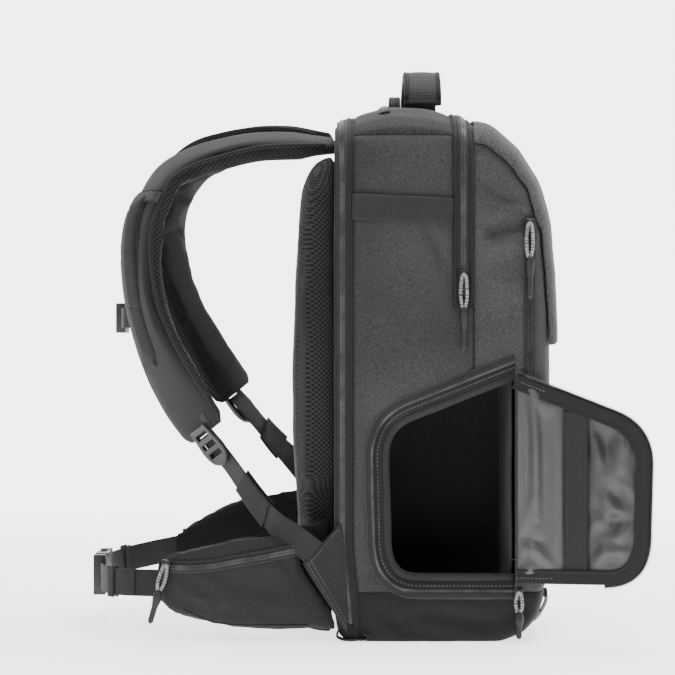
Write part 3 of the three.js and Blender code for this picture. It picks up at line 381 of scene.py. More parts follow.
# The wall glows, as a lit background does, and the floor near the bag is left to take its shadow.
depth = sweep_paper.axes(sweep_paper.place())[1]
sweep_paper.glow(sweep_paper.blend(depth.step(0.2, 2.2), (0.55, 0.55, 0.55), (1, 1, 1)), 3.3)
floor_mesh = bmesh.new()
bmesh.ops.create_grid(floor_mesh, x_segments=2, y_segments=60, size=1)
for corner in floor_mesh.verts:
    # The grid runs 3 m forward as floor, then turns up through a quarter circle into the wall.
    run = (corner.co.y + 1) * 4.5 - 4
    turn_at, radius = 1.6, 1.4
    angle = min(max((run - turn_at) / radius, 0), math.pi / 2)
    straight = max(run - turn_at - radius * math.pi / 2, 0)
    corner.co = Vector((
        corner.co.x * 6,
        min(run, turn_at) + radius * math.sin(angle),
        radius * (1 - math.cos(angle)) + straight,
    ))
floor_data = bpy.data.meshes.new("floor")
floor_mesh.to_mesh(floor_data)
floor = bpy.data.objects.new("floor", floor_data)
floor_data.materials.append(sweep_paper.material)
floor_data.polygons.foreach_set("use_smooth", [True] * len(floor_data.polygons))
bpy.context.scene.collection.objects.link(floor)
print("the paper sweep has", len(floor_data.polygons), "faces")

# %% [markdown]
# ## Tools for cloth
# Nearly every strip on a bag is a flat grid laid along a path: tapes, webbing, straps, piping. One
# helper makes the grid with bmesh, gives it a UV map in metres, and then moves each vertex to where the
# path says. Another wraps up a finished mesh: its material, its body and the node it replaces.

# %% Laying a grid and finishing a piece
def laid(across, along, place, size, closed=False, caps=False):
    """A grid of faces: place(u, v) gives the point for shares u and v of its width and length."""
    grid = bmesh.new()
    uv = grid.loops.layers.uv.new("UVMap")
    bmesh.ops.create_grid(grid, x_segments=across, y_segments=along, size=0.5)
    for face in grid.faces:
        for loop in face.loops:
            flat = loop.vert.co
            loop[uv].uv = ((flat.x + 0.5) * size[0], (flat.y + 0.5) * size[1])
    for vert in grid.verts:
        vert.co = place(vert.co.x + 0.5, vert.co.y + 0.5)
    if closed:
        bmesh.ops.remove_doubles(grid, verts=grid.verts, dist=1e-6)
    if caps:
        rims = [edge for edge in grid.edges if edge.is_boundary]
        bmesh.ops.holes_fill(grid, edges=rims, sides=0)
    if closed:
        bmesh.ops.recalc_face_normals(grid, faces=grid.faces)
    return grid


def piece(name, mesh, materials, slot, replaces=(), chooser=None, flat=False):
    """Turns a bmesh into an object that rides on the bag."""
    data = bpy.data.meshes.new(name)
    mesh.to_mesh(data)
    mesh.free()
    made = bpy.data.objects.new(name, data)
    for material in materials if isinstance(materials, (list, tuple)) else [materials]:
        data.materials.append(material)
    if chooser:
        for face in data.polygons:
            face.material_index = chooser(face.center, face.normal)
    data.polygons.foreach_set("use_smooth", [not flat] * len(data.polygons))
    bpy.context.scene.collection.objects.link(made)
    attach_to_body(made, "root")
    if replaces:
        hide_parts(*replaces)
    return made


def modified(made, kind, **settings):
    """Adds a modifier and applies it at once, so that the next step sees its result."""
    modifier = made.modifiers.new(kind.lower(), kind)
    for key, value in settings.items():
        setattr(modifier, key, value)
    graph = bpy.context.evaluated_depsgraph_get()
    data = bpy.data.meshes.new_from_object(made.evaluated_get(graph))
    old, made.data = made.data, data
    made.modifiers.clear()
    data.name = made.name
    bpy.data.meshes.remove(old)
    return made


def thickened(made, thickness, offset=-1.0):
    return modified(made, "SOLIDIFY", thickness=thickness, offset=offset, use_rim=True, use_even_offset=False)


def copied(*names):
    """One bmesh holding copies of CAD nodes, with their loose triangles joined up."""
    mesh = bmesh.new()
    for name in names:
        mesh.from_mesh(nodes[name].data)
    bmesh.ops.remove_doubles(mesh, verts=mesh.verts, dist=1e-6)
    return mesh


def stood(name, mesh):
    """The bmesh as an object of the scene."""
    data = bpy.data.meshes.new(name)
    mesh.to_mesh(data)
    mesh.free()
    made = bpy.data.objects.new(name, data)
    bpy.context.scene.collection.objects.link(made)
    return made


def removed(made):
    """Take an object and its mesh out of the file."""
    data = made.data
    bpy.data.objects.remove(made)
    bpy.data.meshes.remove(data)


def smooth_union(name, mesh, voxel, rounds):
    """A voxel remesh joins the solids into one even skin, and smoothing rounds off their facets."""
    made = stood(name, mesh)
    modified(made, "REMESH", mode="VOXEL", voxel_size=voxel)
    if rounds:
        modified(made, "SMOOTH", factor=0.5, iterations=rounds)
    return made


def taken(made):
    """The object's mesh as a bmesh, and the object itself removed."""
    mesh = bmesh.new()
    mesh.from_mesh(made.data)
    removed(made)
    return mesh


def run_length(samples):
    """The length of a line of samples, each of which starts with its place."""
    return sum((b[0] - a[0]).length for a, b in zip(samples, samples[1:]))


print("cloth tools are ready")

# %% [markdown]
# ## The bag's form
# The frame's panels are faceted. Their right half, remeshed and smoothed, gives the bag one even skin;
# it is mirrored so that the port doesn't dent it. Every panel is cut from this skin, and every strip
# is placed by casting a ray onto it.

# %% One even skin
shell_nodes = (
    "side_panel_right", "front_shell", "top_yoke", "front_gusset", "back_frame", "base_boot",
)
skin_voxel = 0.003
skin = taken(smooth_union("skin", copied(*shell_nodes), skin_voxel, 9))
bmesh.ops.bisect_plane(
    skin, geom=skin.verts[:] + skin.edges[:] + skin.faces[:], dist=1e-6,
    plane_co=(0, 0, 0), plane_no=(0, 1, 0), clear_inner=True,
)
# The wall has an inner and an outer skin. The outer one holds the vertex furthest from the middle.
furthest = max(skin.verts, key=lambda vert: vert.co.z)
outer, edge_of_search = {furthest}, [furthest]
while edge_of_search:
    near = edge_of_search.pop()
    for edge in near.link_edges:
        other = edge.other_vert(near)
        if other not in outer:
            outer.add(other)
            edge_of_search.append(other)
bmesh.ops.delete(skin, geom=[vert for vert in skin.verts if vert not in outer], context="VERTS")
bmesh.ops.mirror(skin, geom=skin.verts[:] + skin.edges[:] + skin.faces[:], axis="Y", merge_dist=1e-5)
bmesh.ops.remove_doubles(skin, verts=skin.verts, dist=1e-5)
bmesh.ops.recalc_face_normals(skin, faces=skin.faces)
skin.normal_update()
skin_tree = BVHTree.FromBMesh(skin)
skin_low = Vector(min(vert.co[axis] for vert in skin.verts) for axis in range(3))
skin_high = Vector(max(vert.co[axis] for vert in skin.verts) for axis in range(3))
print("skin:", len(skin.faces), "faces")
print("from", [round(v, 3) for v in skin_low], "to", [round(v, 3) for v in skin_high])

# %% Seams
middle = Vector((0.0035, 0, 0.235))
frame_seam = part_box("side_panel_right")[0].x
frame_foot_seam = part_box("base_boot")[0].x
gusset_rear, gusset_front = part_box("front_gusset")[0].x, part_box("front_gusset")[1].x
gusset_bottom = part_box("front_gusset")[0].z
boot_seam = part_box("base_boot")[1].z
yoke_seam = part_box("top_yoke")[0].z
bend_high, bend_low = 0.090, 0.0235


def frame_front(z):
    """The rear frame's front seam, which swings forward towards the foot."""
    share = min(max((bend_high - z) / (bend_high - bend_low), 0), 1)
    return frame_seam + share * (frame_foot_seam - frame_seam)


def region(point):
    """The sewn panel that a point of the skin belongs to."""
    if point.x < frame_front(point.z):
        return "back_frame"
    if point.z < boot_seam:
        return "base_boot"
    if point.x > gusset_front:
        return "front_shell"
    if point.x > gusset_rear and point.z > gusset_bottom:
        return "front_gusset"
    if point.z > yoke_seam:
        return "top_yoke"
    return "side_panel_left" if point.y < 0 else "side_panel_right"


def cut_along(mesh, co, normal, where):
    """Cut the faces that where() picks along a plane, so that a seam runs straight."""
    chosen = [face for face in mesh.faces if where(face.calc_center_median())]
    parts = set(chosen)
    for face in chosen:
        parts.update(face.verts)
        parts.update(face.edges)
    bmesh.ops.bisect_plane(mesh, geom=list(parts), dist=1e-5, plane_co=co, plane_no=normal)


slant = Vector((frame_foot_seam - frame_seam, 0, bend_low - bend_high))
seam_cuts = (
    ((frame_seam, 0, 0), (1, 0, 0), lambda c: c.z > bend_high - 0.004),
    ((frame_seam, 0, bend_high), (-slant.z, 0, slant.x),
     lambda c: bend_low - 0.004 < c.z < bend_high + 0.004),
    ((frame_foot_seam, 0, 0), (1, 0, 0), lambda c: c.z < bend_low + 0.004),
    ((0, 0, boot_seam), (0, 0, 1), lambda c: c.x > frame_seam),
    ((gusset_front, 0, 0), (1, 0, 0), lambda c: c.z > boot_seam - 0.004),
    ((gusset_rear, 0, 0), (1, 0, 0), lambda c: c.z > gusset_bottom - 0.004),
    ((0, 0, gusset_bottom), (0, 0, 1), lambda c: gusset_rear - 0.004 < c.x < gusset_front + 0.004),
    ((0, 0, yoke_seam), (0, 0, 1), lambda c: frame_seam - 0.004 < c.x < gusset_rear + 0.004),
)
for co, normal, where in seam_cuts:
    cut_along(skin, co, normal, where)
print("seams at x =", round(frame_seam, 4), round(gusset_rear, 4), round(gusset_front, 4))

# %% [markdown]
# ### Folds
# Cloth that is sewn under slight tension shows long soft dents, mostly running away from corners and
# zips. Each fold is a short line on the side view with a depth and a width: the surface sinks along
# the line and rises a little on both sides. The main ones follow the photograph.

# %% Folds and dents
def fold(points, depth, width):
    """A fold given in millimetres, as a line, a depth and a width in metres."""
    return np.array(points, float) * MM, depth * MM, width * MM


# Points are (x, z) on the left side, in millimetres.
side_folds = (
    fold([(42, 440), (64, 422), (92, 414)], 3.5, 7),
    fold([(40, 398), (58, 392), (84, 396), (97, 402)], 4.9, 8),
    fold([(40, 372), (52, 386), (72, 402)], 3.2, 7),
    fold([(44, 352), (62, 360), (90, 356)], 2.0, 12),
    fold([(40, 320), (60, 316), (82, 322)], 1.7, 14),
    fold([(-8, 398), (2, 378), (12, 352)], 2.6, 6),
    fold([(-70, 300), (-40, 292), (0, 300)], 2.2, 20),
    fold([(-74, 236), (-58, 214), (-38, 196)], 2.3, 13),
    fold([(-72, 160), (-66, 120), (-58, 92)], 2.6, 8),
    fold([(-66, 74), (-52, 60), (-34, 52)], 2.0, 7),
    fold([(-70, 452), (-30, 446), (12, 452)], 1.3, 16),
    fold([(-60, 350), (-30, 338), (8, 346)], 1.4, 22),
    fold([(-64, 384), (-40, 372), (-20, 380)], 1.2, 14),
    fold([(-40, 20), (0, 26), (50, 18), (86, 30)], 2.0, 7),
    fold([(-58, 34), (-30, 12), (10, 8)], 1.4, 6),
)


def distance_to_line(points, line):
    """The distance from each (x, z) to a polyline, and how far along it the nearest point lies."""
    best = np.full(len(points), 1e9)
    share = np.zeros(len(points))
    steps = len(line) - 1
    for k in range(steps):
        start, run = line[k], line[k + 1] - line[k]
        t = np.clip(((points - start) @ run) / (run @ run), 0, 1)
        gap = np.linalg.norm(points - start - t[:, None] * run, axis=1)
        closer = gap < best
        best[closer] = gap[closer]
        share[closer] = (k + t[closer]) / steps
    return best, share


def fold_relief(points, folds):
    """How far each (x, z) point is lowered or raised by the folds."""
    relief = np.zeros(len(points))
    for line, depth, width in folds:
        gap, share = distance_to_line(points, line)
        fade = np.sin(np.pi * np.clip(share * 0.86 + 0.07, 0, 1)) ** 0.7
        ridge = np.exp(-((gap - 1.7 * width) / (0.8 * width)) ** 2)
        relief += fade * depth * (0.45 * ridge - np.exp(-(gap / width) ** 2))
    return relief


def mottle(points, scale, seed):
    """A smooth random height between about -1 and 1 for each point."""
    shift = Vector((seed * 13.7, seed * 5.1, seed * 9.3))
    return np.array([noise.noise(Vector(point) * scale + shift) for point in points])


print(len(side_folds), "folds on each side")

# %% [markdown]
# ### Sewn panels
# A panel is pulled in along its seams and stands proud between them, because the padding is squeezed
# flat under the stitching. So each vertex sinks by an amount that falls away with its distance from the
# panel's edge. After that the open patch of skin gets its wall thickness, turned inwards.

# %% Cut the skin into its panels
panel_looks = {
    "side_panel_left": (side_cloth, "shell_fabric", 1.0, 2.2),
    "side_panel_right": (side_cloth, "shell_fabric", 1.0, 2.2),
    "front_shell": (shell_cloth, "shell_fabric", 1.3, 2.4),
    "top_yoke": (yoke_cloth, "heather_fabric", 0.8, 1.6),
    "front_gusset": (binding_cloth, "shell_fabric", 0.2, 0.6),
    "back_frame": (binding_cloth, "shell_fabric", 0.5, 0.8),
    "base_boot": (boot_cloth, "boot_fabric", 1.2, 1.6),
}
faces_of = {name: [] for name in panel_looks}
for face in skin.faces:
    faces_of[region(face.calc_center_median())].append(face)
skin_data = bpy.data.meshes.new("skin")
skin.faces.ensure_lookup_table()
skin.faces.index_update()
numbers = {name: {face.index for face in faces} for name, faces in faces_of.items()}
skin.to_mesh(skin_data)
panels = {}
for name, (cloth, slot, dents, sink) in panel_looks.items():
    patch = bmesh.new()
    patch.from_mesh(skin_data)
    patch.faces.ensure_lookup_table()
    outside = [face for face in patch.faces if face.index not in numbers[name]]
    bmesh.ops.delete(patch, geom=outside, context="FACES")
    patch.normal_update()
    border = [vert.co.copy() for vert in patch.verts if vert.is_boundary]
    tree = kdtree.KDTree(len(border))
    for k, co in enumerate(border):
        tree.insert(co, k)
    tree.balance()
    places = np.array([vert.co for vert in patch.verts])
    normals = np.array([vert.normal for vert in patch.verts])
    gaps = np.array([tree.find(vert.co)[2] for vert in patch.verts])
    height = -sink * MM * np.exp(-(gaps / 0.0045) ** 1.2)
    waves = 0.7 * mottle(places, 16, 1) + 0.35 * mottle(places, 42, 2)
    height += dents * MM * waves * (1 - np.exp(-gaps / 0.02))
    flank = np.clip((np.abs(normals[:, 1]) - 0.35) / 0.4, 0, 1)
    if name not in ("back_frame", "front_gusset"):
        height += flank * fold_relief(places[:, [0, 2]], side_folds) * (1 - np.exp(-gaps / 0.008))
    for vert, rise in zip(patch.verts, height):
        vert.co += vert.normal * float(rise)
    panels[name] = piece(name + "_cloth", patch, cloth, slot, replaces=[name])
    print(name, len(panels[name].data.polygons), "faces")
skin.free()
bpy.data.meshes.remove(skin_data)

# %% [markdown]
# ## Placing strips on the bag
# A zip or a piece of piping has to lie on the cloth, not in it. Each one starts as a list of samples: a
# point on the bag and the direction that faces away from it there. Samples come from rays cast
# outwards, either round the bag in a plane across its depth, or straight through one flank.

# %% Rays onto the panels
outside = bmesh.new()
for made in panels.values():
    outside.from_mesh(made.data)
panel_tree = BVHTree.FromBMesh(outside)
outside.free()


def touch(origin, direction):
    """Where a ray from inside the bag meets its outside, and the way out from there."""
    direction = Vector(direction).normalized()
    place, normal, _, _ = panel_tree.ray_cast(Vector(origin), direction)
    if place is None:
        place, normal, _, _ = skin_tree.ray_cast(Vector(origin), direction)
    return place, normal if normal.dot(direction) > 0 else -normal


def on_flank(x, z, side):
    """A sample on one side of the bag."""
    return touch((x, side * 0.06, z), (0, side, 0))


def round_bag(x_at, foot):
    """Samples round the bag, from the height of its foot on the left over the top to the right."""
    count, first_guess = 240, 0.3
    start = math.atan2(foot - middle.z, skin_high.y)
    end = math.pi - start
    samples = []
    for k in range(count + 1):
        angle = start + (end - start) * k / count
        height = foot if k in (0, count) else first_guess
        for _ in range(3):
            origin = Vector((x_at(height), 0, middle.z))
            place, normal = touch(origin, (0, -math.cos(angle), math.sin(angle)))
            height = place.z
        samples.append((place, normal))
    return samples


def through(points, side=-1, steps=12):
    """Samples on one flank along a line of (x, z) points."""
    samples = []
    for (x0, z0), (x1, z1) in zip(points, points[1:]):
        for k in range(steps):
            share = k / steps
            samples.append(on_flank(x0 + (x1 - x0) * share, z0 + (z1 - z0) * share, side))
    samples.append(on_flank(*points[-1], side))
    return samples


def evened(samples, step, relax=2):
    """The same line with equal steps, its normals made to change slowly."""
    places = [np.array(place) for place, _ in samples]
    normals = [np.array(normal) for _, normal in samples]
    for _ in range(relax):
        normals = [normals[0]] + [
            a + 2 * b + c for a, b, c in zip(normals, normals[1:], normals[2:])
        ] + [normals[-1]]
        normals = [n / np.linalg.norm(n) for n in normals]
        places = [places[0]] + [
            (a + 2 * b + c) / 4 for a, b, c in zip(places, places[1:], places[2:])
        ] + [places[-1]]
    lengths = [0.0]
    for a, b in zip(places, places[1:]):
        lengths.append(lengths[-1] + float(np.linalg.norm(b - a)))
    count = max(2, round(lengths[-1] / step))
    wanted = np.linspace(0, lengths[-1], count + 1)
    columns = np.hstack([np.array(places), np.array(normals)])
    table = np.array([[np.interp(w, lengths, column) for column in columns.T] for w in wanted])
    even = []
    for k, row in enumerate(table):
        before, after = table[max(k - 1, 0)][:3], table[min(k + 1, count)][:3]
        even.append((Vector(row[:3]), Vector(row[3:]).normalized(), Vector(after - before).normalized()))
    return even


def strip(samples, width, lift, across=4):
    """A flat strip along even samples: lift(u) is its height over the cloth for a share of its width."""
    length = run_length(samples)
    last = len(samples) - 1

    def place(u, v):
        k = min(int(round(v * last)), last)
        point, normal, along = samples[k]
        side = normal.cross(along).normalized()
        return point + side * ((u - 0.5) * width) + normal * lift(u)
    return laid(across, last, place, (width, length))


def tube(samples, radius, lift):
    """A round cord along even samples."""
    sides = 8
    length = run_length(samples)
    last = len(samples) - 1

    def place(u, v):
        k = min(int(round(v * last)), last)
        point, normal, along = samples[k]
        side = normal.cross(along).normalized()
        angle = 2 * math.pi * u
        return point + side * (radius * math.cos(angle)) + normal * (lift + radius * math.sin(angle))
    return laid(sides, last, place, (2 * math.pi * radius, length), closed=True, caps=True)


def joined(meshes):
    """Several bmeshes as one."""
    whole = bmesh.new()
    for mesh in meshes:
        data = bpy.data.meshes.new("part")
        mesh.to_mesh(data)
        mesh.free()
        whole.from_mesh(data)
        bpy.data.meshes.remove(data)
    return whole


print("rays meet", len(panels), "panels")

# %% [markdown]
# ### Zips
# A coil zip is two tapes whose edges carry a moulded spiral. From outside it shows as two close rows
# of short teeth with a dark line between them. Each tooth is one tiny six-sided block: there are
# thousands, so a block has to stay cheap.

# %% Zip, piping and stitches
tooth_pitch = 1.7 * MM
tape_lift = 0.9 * MM


def teeth(samples, rows=(-1.25 * MM, 1.25 * MM), size=(2.1 * MM, 1.05 * MM, 1.3 * MM), lift=1.7 * MM):
    row = bmesh.new()
    for k, (point, normal, along) in enumerate(samples):
        side = normal.cross(along).normalized()
        for number, offset in enumerate(rows):
            at = point + side * offset + normal * lift + along * (0.5 * number * tooth_pitch)
            turn = Matrix((side, along, normal)).transposed().to_4x4()
            shape = Matrix.Diagonal((*size, 1))
            bmesh.ops.create_cube(row, size=1, matrix=Matrix.Translation(at) @ turn @ shape)
    return row


def zip_closed(name, samples, node, width=10 * MM, coil=coil_plastic, cloth=tape_cloth):
    even = evened(samples, tooth_pitch)
    coarse = evened(samples, 4 * MM)
    tape = strip(coarse, width, lambda u: tape_lift - 0.7 * MM * abs(2 * u - 1) ** 3, across=6)
    made = piece(name + "_tape", tape, cloth, "zip", replaces=[node] if node else [])
    thickened(made, 0.8 * MM)
    piece(name + "_teeth", teeth(even), coil, "zip", flat=True)
    return even


def piping(name, samples, radius, lift=0.3 * MM, cloth=binding_cloth, slot="shell_fabric"):
    """A round roll of cloth along a seam."""
    return piece(name, tube(evened(samples, 4 * MM), radius, lift), cloth, slot)


def stitches(name, samples, pitch=3.6 * MM, length=2.4 * MM, width=0.55 * MM, lift=0.25 * MM,
             material=dark_thread, slot="shell_fabric"):
    """A row of short blocks of thread along a line."""
    row = bmesh.new()
    for point, normal, along in evened(samples, pitch):
        side = normal.cross(along).normalized()
        at = point + normal * lift
        turn = Matrix((side, along, normal)).transposed().to_4x4()
        bmesh.ops.create_cube(row, size=1, matrix=(
            Matrix.Translation(at) @ turn @ Matrix.Diagonal((width, length, 0.45 * MM, 1))))
    return piece(name, row, material, slot, flat=True)


back_zip_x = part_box("back_zip_tape")[0].x + 3.2 * MM


def beside_frame(offset):
    """A line that keeps an even distance from the frame's front seam."""
    return lambda z: frame_front(z) + offset


back_line = round_bag(beside_frame(back_zip_x - frame_seam), 0.016)
zip_closed("back_zip", back_line, "back_zip_tape", width=11 * MM)
frame_line = round_bag(beside_frame(-3.4 * MM), 0.012)
piping("frame_roll", frame_line, 2.6 * MM, lift=-0.4 * MM)
piping("frame_piping", round_bag(beside_frame(0.2 * MM), 0.012), 1.0 * MM, lift=0.2 * MM, cloth=boot_cloth)
piping("rear_roll", round_bag(lambda z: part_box("back_frame")[0].x + 2.2 * MM, 0.03), 2.4 * MM, lift=-0.8 * MM)
front_zip_x = (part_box("front_zip_tape")[0].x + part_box("front_zip_tape")[1].x) / 2
front_line = round_bag(lambda z: front_zip_x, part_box("front_zip_tape")[0].z)
zip_closed("front_zip", front_line, "front_zip_tape", width=10 * MM)
for name, x in (("rear", gusset_rear + 2.6 * MM), ("front", gusset_front - 2.6 * MM)):
    piping("gusset_roll_" + name, round_bag(lambda z: x, gusset_bottom + 1 * MM), 2.3 * MM, lift=-0.5 * MM)
for side, label in ((-1, "left"), (1, "right")):
    low = boot_seam + 2 * MM
    if side < 0:
        # The left seam ends at the port, which is cut through it.
        low = 259 * MM
    seam_line = through([(gusset_front, gusset_bottom - 2 * MM), (gusset_front, low)], side, 40)
    piping("flank_piping_" + label, seam_line, 0.9 * MM, lift=0.2 * MM, cloth=boot_cloth)
    edge_line = through([(gusset_rear, gusset_bottom), (gusset_front, gusset_bottom)], side, 8)
    piping("gusset_end_" + label, edge_line, 1.2 * MM, lift=0.4 * MM)
low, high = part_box("top_zip_tape")
top_x = (low.x + high.x) / 2
top_line = [touch((top_x, y, middle.z), (0, 0, 1)) for y in np.linspace(low.y, high.y, 60)]
zip_closed("top_zip", top_line, "top_zip_tape", coil=dark_coil)
for side, label in ((-1, "left"), (1, "right")):
    low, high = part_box("pocket_zip_" + label)
    x = (low.x + high.x) / 2 + 0.6 * MM
    line = through([(x, low.z + 1 * MM), (x, high.z - 4 * MM)], side, 60)
    zip_closed("pocket_zip_" + label, line, "pocket_zip_" + label, width=11 * MM, coil=dark_coil)
    garage = through([(x, high.z - 20 * MM), (x, high.z + 1 * MM)], side, 12)
    hood = strip(evened(garage, 3 * MM), 12 * MM, lambda u: 2.6 * MM - 1.6 * MM * abs(2 * u - 1) ** 4, 8)
    thickened(piece("pocket_garage_" + label, hood, binding_cloth, "zip"), 0.9 * MM)
print("zips and piping are on")

# %% [markdown]
# ### Side webbing and seam stitching
# The band across each side is sewn down at its ends and along two rows, so it bows out a little in
# each of its three loops. The stitches are short blocks of thread laid in rows.

# %% Side webbing
def banded(samples, width, thick, bow, name, node, slot="webbing", cloth=webbing_cloth):
    """Webbing over samples, bowed out by bow(v) along its length."""
    length = run_length(samples)
    last = len(samples) - 1

    def place(u, v):
        point, normal, along = samples[min(int(round(v * last)), last)]
        side = normal.cross(along).normalized()
        edge = 0.35 * MM * abs(2 * u - 1) ** 6
        return point + side * ((u - 0.5) * width) + normal * (thick + bow(v) - edge)
    made = piece(name, laid(8, last, place, (width, length)), cloth, slot, replaces=[node] if node else [])
    return thickened(made, thick)


web_rows = (0.33, 0.655)
for side, label in ((-1, "left"), (1, "right")):
    low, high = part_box("side_webbing_" + label)
    web_z, web_slope = (low.z + high.z) / 2 + 1.5 * MM, 4.5 * MM
    line = through([(low.x - 0.5 * MM, web_z), (high.x + 0.5 * MM, web_z - web_slope)], side, 50)
    even = evened(line, 1.5 * MM)

    def loops(v):
        spans = (0, *web_rows, 1)
        for a, b in zip(spans, spans[1:]):
            if a <= v <= b:
                return 1.3 * MM * math.sin(math.pi * (v - a) / (b - a)) ** 0.6
        return 0
    banded(even, 25 * MM, 1.4 * MM, loops, "side_webbing_band_" + label, "side_webbing_" + label)
    for k, share in enumerate(web_rows):
        x = low.x + share * (high.x - low.x)
        z = web_z - share * web_slope
        row = [(place + normal * 2.2 * MM, normal) for place, normal in through(
            [(x, z - 11.5 * MM), (x, z + 11.5 * MM)], side, 20)]
        stitches(f"web_stitch_{label}_{k}", row, 2.9 * MM, 1.5 * MM, 0.8 * MM, material=thread,
                 slot="webbing")
print("side webbing is on")

# %% [markdown]
# ### Front flap
# The heather flap starts behind the front zip, wraps over the crown and ends in a free hem over the
# front pocket. It is one sheet: a grid over the bag's width and round its front, lifted by its own
# thickness in the middle and rolled under at its edges.

# %% Front flap
low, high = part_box("front_flap")
flap_half, flap_lift = 144.5 * MM, 5.2 * MM
flap_start = math.atan2(high.z - middle.z - 3 * MM, low.x - middle.x + 2 * MM)
flap_end = math.atan2(low.z - middle.z, high.x - 4 * MM - middle.x)


def flap_place(u, v):
    """A point of the flap for shares of its width and its length."""
    y = (2 * u - 1) * flap_half
    angle = flap_start + (flap_end - flap_start) * v
    place, normal = touch((middle.x, y, middle.z), (math.cos(angle), 0, math.sin(angle)))
    to_edge = (1 - abs(2 * u - 1)) * flap_half
    height = flap_lift * (1 - math.exp(-((to_edge + 0.8 * MM) / (3.4 * MM))))
    height *= 0.35 + 0.65 * min(v / 0.05, 1)
    height += 1.2 * MM * noise.noise(place * 18) * min(to_edge / 0.03, 1)
    return place + normal * height


flap = piece("front_flap_cloth", laid(110, 90, flap_place, (2 * flap_half, 0.33)), heather_cloth,
             "heather_fabric", replaces=["front_flap"])
modified(flap, "SMOOTH", factor=0.5, iterations=4)
thickened(flap, 2.6 * MM)
modified(flap, "BEVEL", width=0.8 * MM, segments=2, limit_method="ANGLE")
for row, v in enumerate((0.972, 0.952)):
    line = [(flap_place(u, v), Vector((1, 0, 0))) for u in np.linspace(0.03, 0.97, 90)]
    stitches(f"hem_stitch_{row}", line, slot="heather_fabric")
print("flap:", len(flap.data.polygons), "faces")

# %% [markdown]
# ## The open port
# The port is a hole in the left side with a zip along its edge. Inside it is a padded rim, and behind
# that the dark cell. The hole is cut with a Boolean, once the panels have their thickness, because it
# then gets a clean wall.

# %% The port's outline
def bend(start, control, end, steps=10):
    """Points along a quadratic curve, without its first point."""
    a, b, c = (Vector(p) for p in (start, control, end))
    shares = [k / steps for k in range(1, steps + 1)]
    return [((1 - t) ** 2 * a + 2 * t * (1 - t) * b + t * t * c) for t in shares]


port_hinge, port_sill = 76 * MM, 48 * MM
port_rear = -60.5 * MM
port_corners = [
    Vector(p) * MM for p in ((76, 267), (-27.5, 226), (-60.5, 178), (-58.5, 105), (-14.5, 48), (76, 48))
]
port_line = [
    port_corners[0], port_corners[1],
    *bend(port_corners[1], Vector((-58.5, 212.8)) * MM, port_corners[2]),
    port_corners[3],
    *bend(port_corners[3], Vector((port_rear, port_sill)), port_corners[4]),
    port_corners[5],
]


def inset(line, distance):
    """The same open line moved sideways, to its left where the distance is positive."""
    moved = []
    for k, point in enumerate(line):
        before, after = line[max(k - 1, 0)], line[min(k + 1, len(line) - 1)]
        run = (after - before).normalized()
        moved.append(point + Vector((-run.y, run.x)) * distance)
    return moved


def prism_mesh(loop, near, far):
    """A closed slab over an (x, z) loop, from one y to another."""
    mesh = bmesh.new()
    verts = [mesh.verts.new((p.x, near, p.y)) for p in loop]
    face = mesh.faces.new(verts)
    grown = bmesh.ops.extrude_face_region(mesh, geom=[face])
    moved = [item for item in grown["geom"] if isinstance(item, bmesh.types.BMVert)]
    bmesh.ops.translate(mesh, verts=moved, vec=(0, far - near, 0))
    bmesh.ops.recalc_face_normals(mesh, faces=mesh.faces)
    return mesh


port_cutter = stood("port_cutter", prism_mesh(port_line, -0.3, -0.06))
for name, made in panels.items():
    thickened(made, 2.5 * MM)
    if name in ("side_panel_left", "front_shell"):
        modified(made, "BOOLEAN", object=port_cutter, operation="DIFFERENCE", solver="EXACT")
removed(port_cutter)
print("the port is", round((port_hinge - port_rear) / MM), "mm wide")

# %% [markdown]
# ### The port's edge, rim and cell
# Round the hole run, from outside in: the zip's tape with one row of teeth, a stitched flange that
# slopes inwards, and the padded rim of the cell. Each is a strip laid along the same outline, moved
# inwards and set a little deeper. The cell behind is a plain box of dark cloth.

# %% Port edge
def sunk(samples, depth, tilt=0.0):
    """Samples pushed into the bag, and turned to face the middle of the port by a tilt."""
    moved = []
    for place, normal in samples:
        inward = (Vector((0.012, place.y, 0.14)) - place).normalized()
        facing = (normal + inward * tilt).normalized()
        moved.append((place + Vector((0, depth, 0)), facing))
    return moved


def along_port(shift):
    """Samples along the port's outline, moved inwards."""
    return through([tuple(point) for point in inset(port_line, shift)], -1, 6)


port_edge = along_port(-2.2 * MM)
even = evened(port_edge, 1.7 * MM)
tape = strip(evened(port_edge, 4 * MM), 6.5 * MM, lambda u: 1.1 * MM - 0.7 * MM * abs(2 * u - 1) ** 3, 6)
thickened(piece("port_zip_tape_band", tape, tape_cloth, "zip", replaces=["port_zip_tape"]), 0.8 * MM)
piece("port_zip_teeth", teeth(even, rows=(2.6 * MM,), size=(2.2 * MM, 1.0 * MM, 1.3 * MM), lift=1.2 * MM),
      coil_plastic, "zip", flat=True)
piping("port_roll", along_port(-6.0 * MM), 1.1 * MM, lift=0.2 * MM, cloth=side_cloth)
flange_line = sunk(along_port(4.6 * MM), 3.0 * MM, 0.5)
flange = strip(evened(flange_line, 4 * MM), 10 * MM, lambda u: 0.8 * MM * math.sin(math.pi * u), 6)
thickened(piece("port_flange", flange, binding_cloth, "lining"), 1.2 * MM)
piping("port_flange_roll", sunk(along_port(0.2 * MM), 1.0 * MM), 1.2 * MM, lift=0.2 * MM, slot="lining")
stitches("port_flange_stitch", sunk(along_port(5.4 * MM), 1.1 * MM, 0.5), slot="lining", material=thread,
         pitch=3.6 * MM, length=2.0 * MM, width=0.8 * MM)
print("the port's edge has", len(even), "teeth")

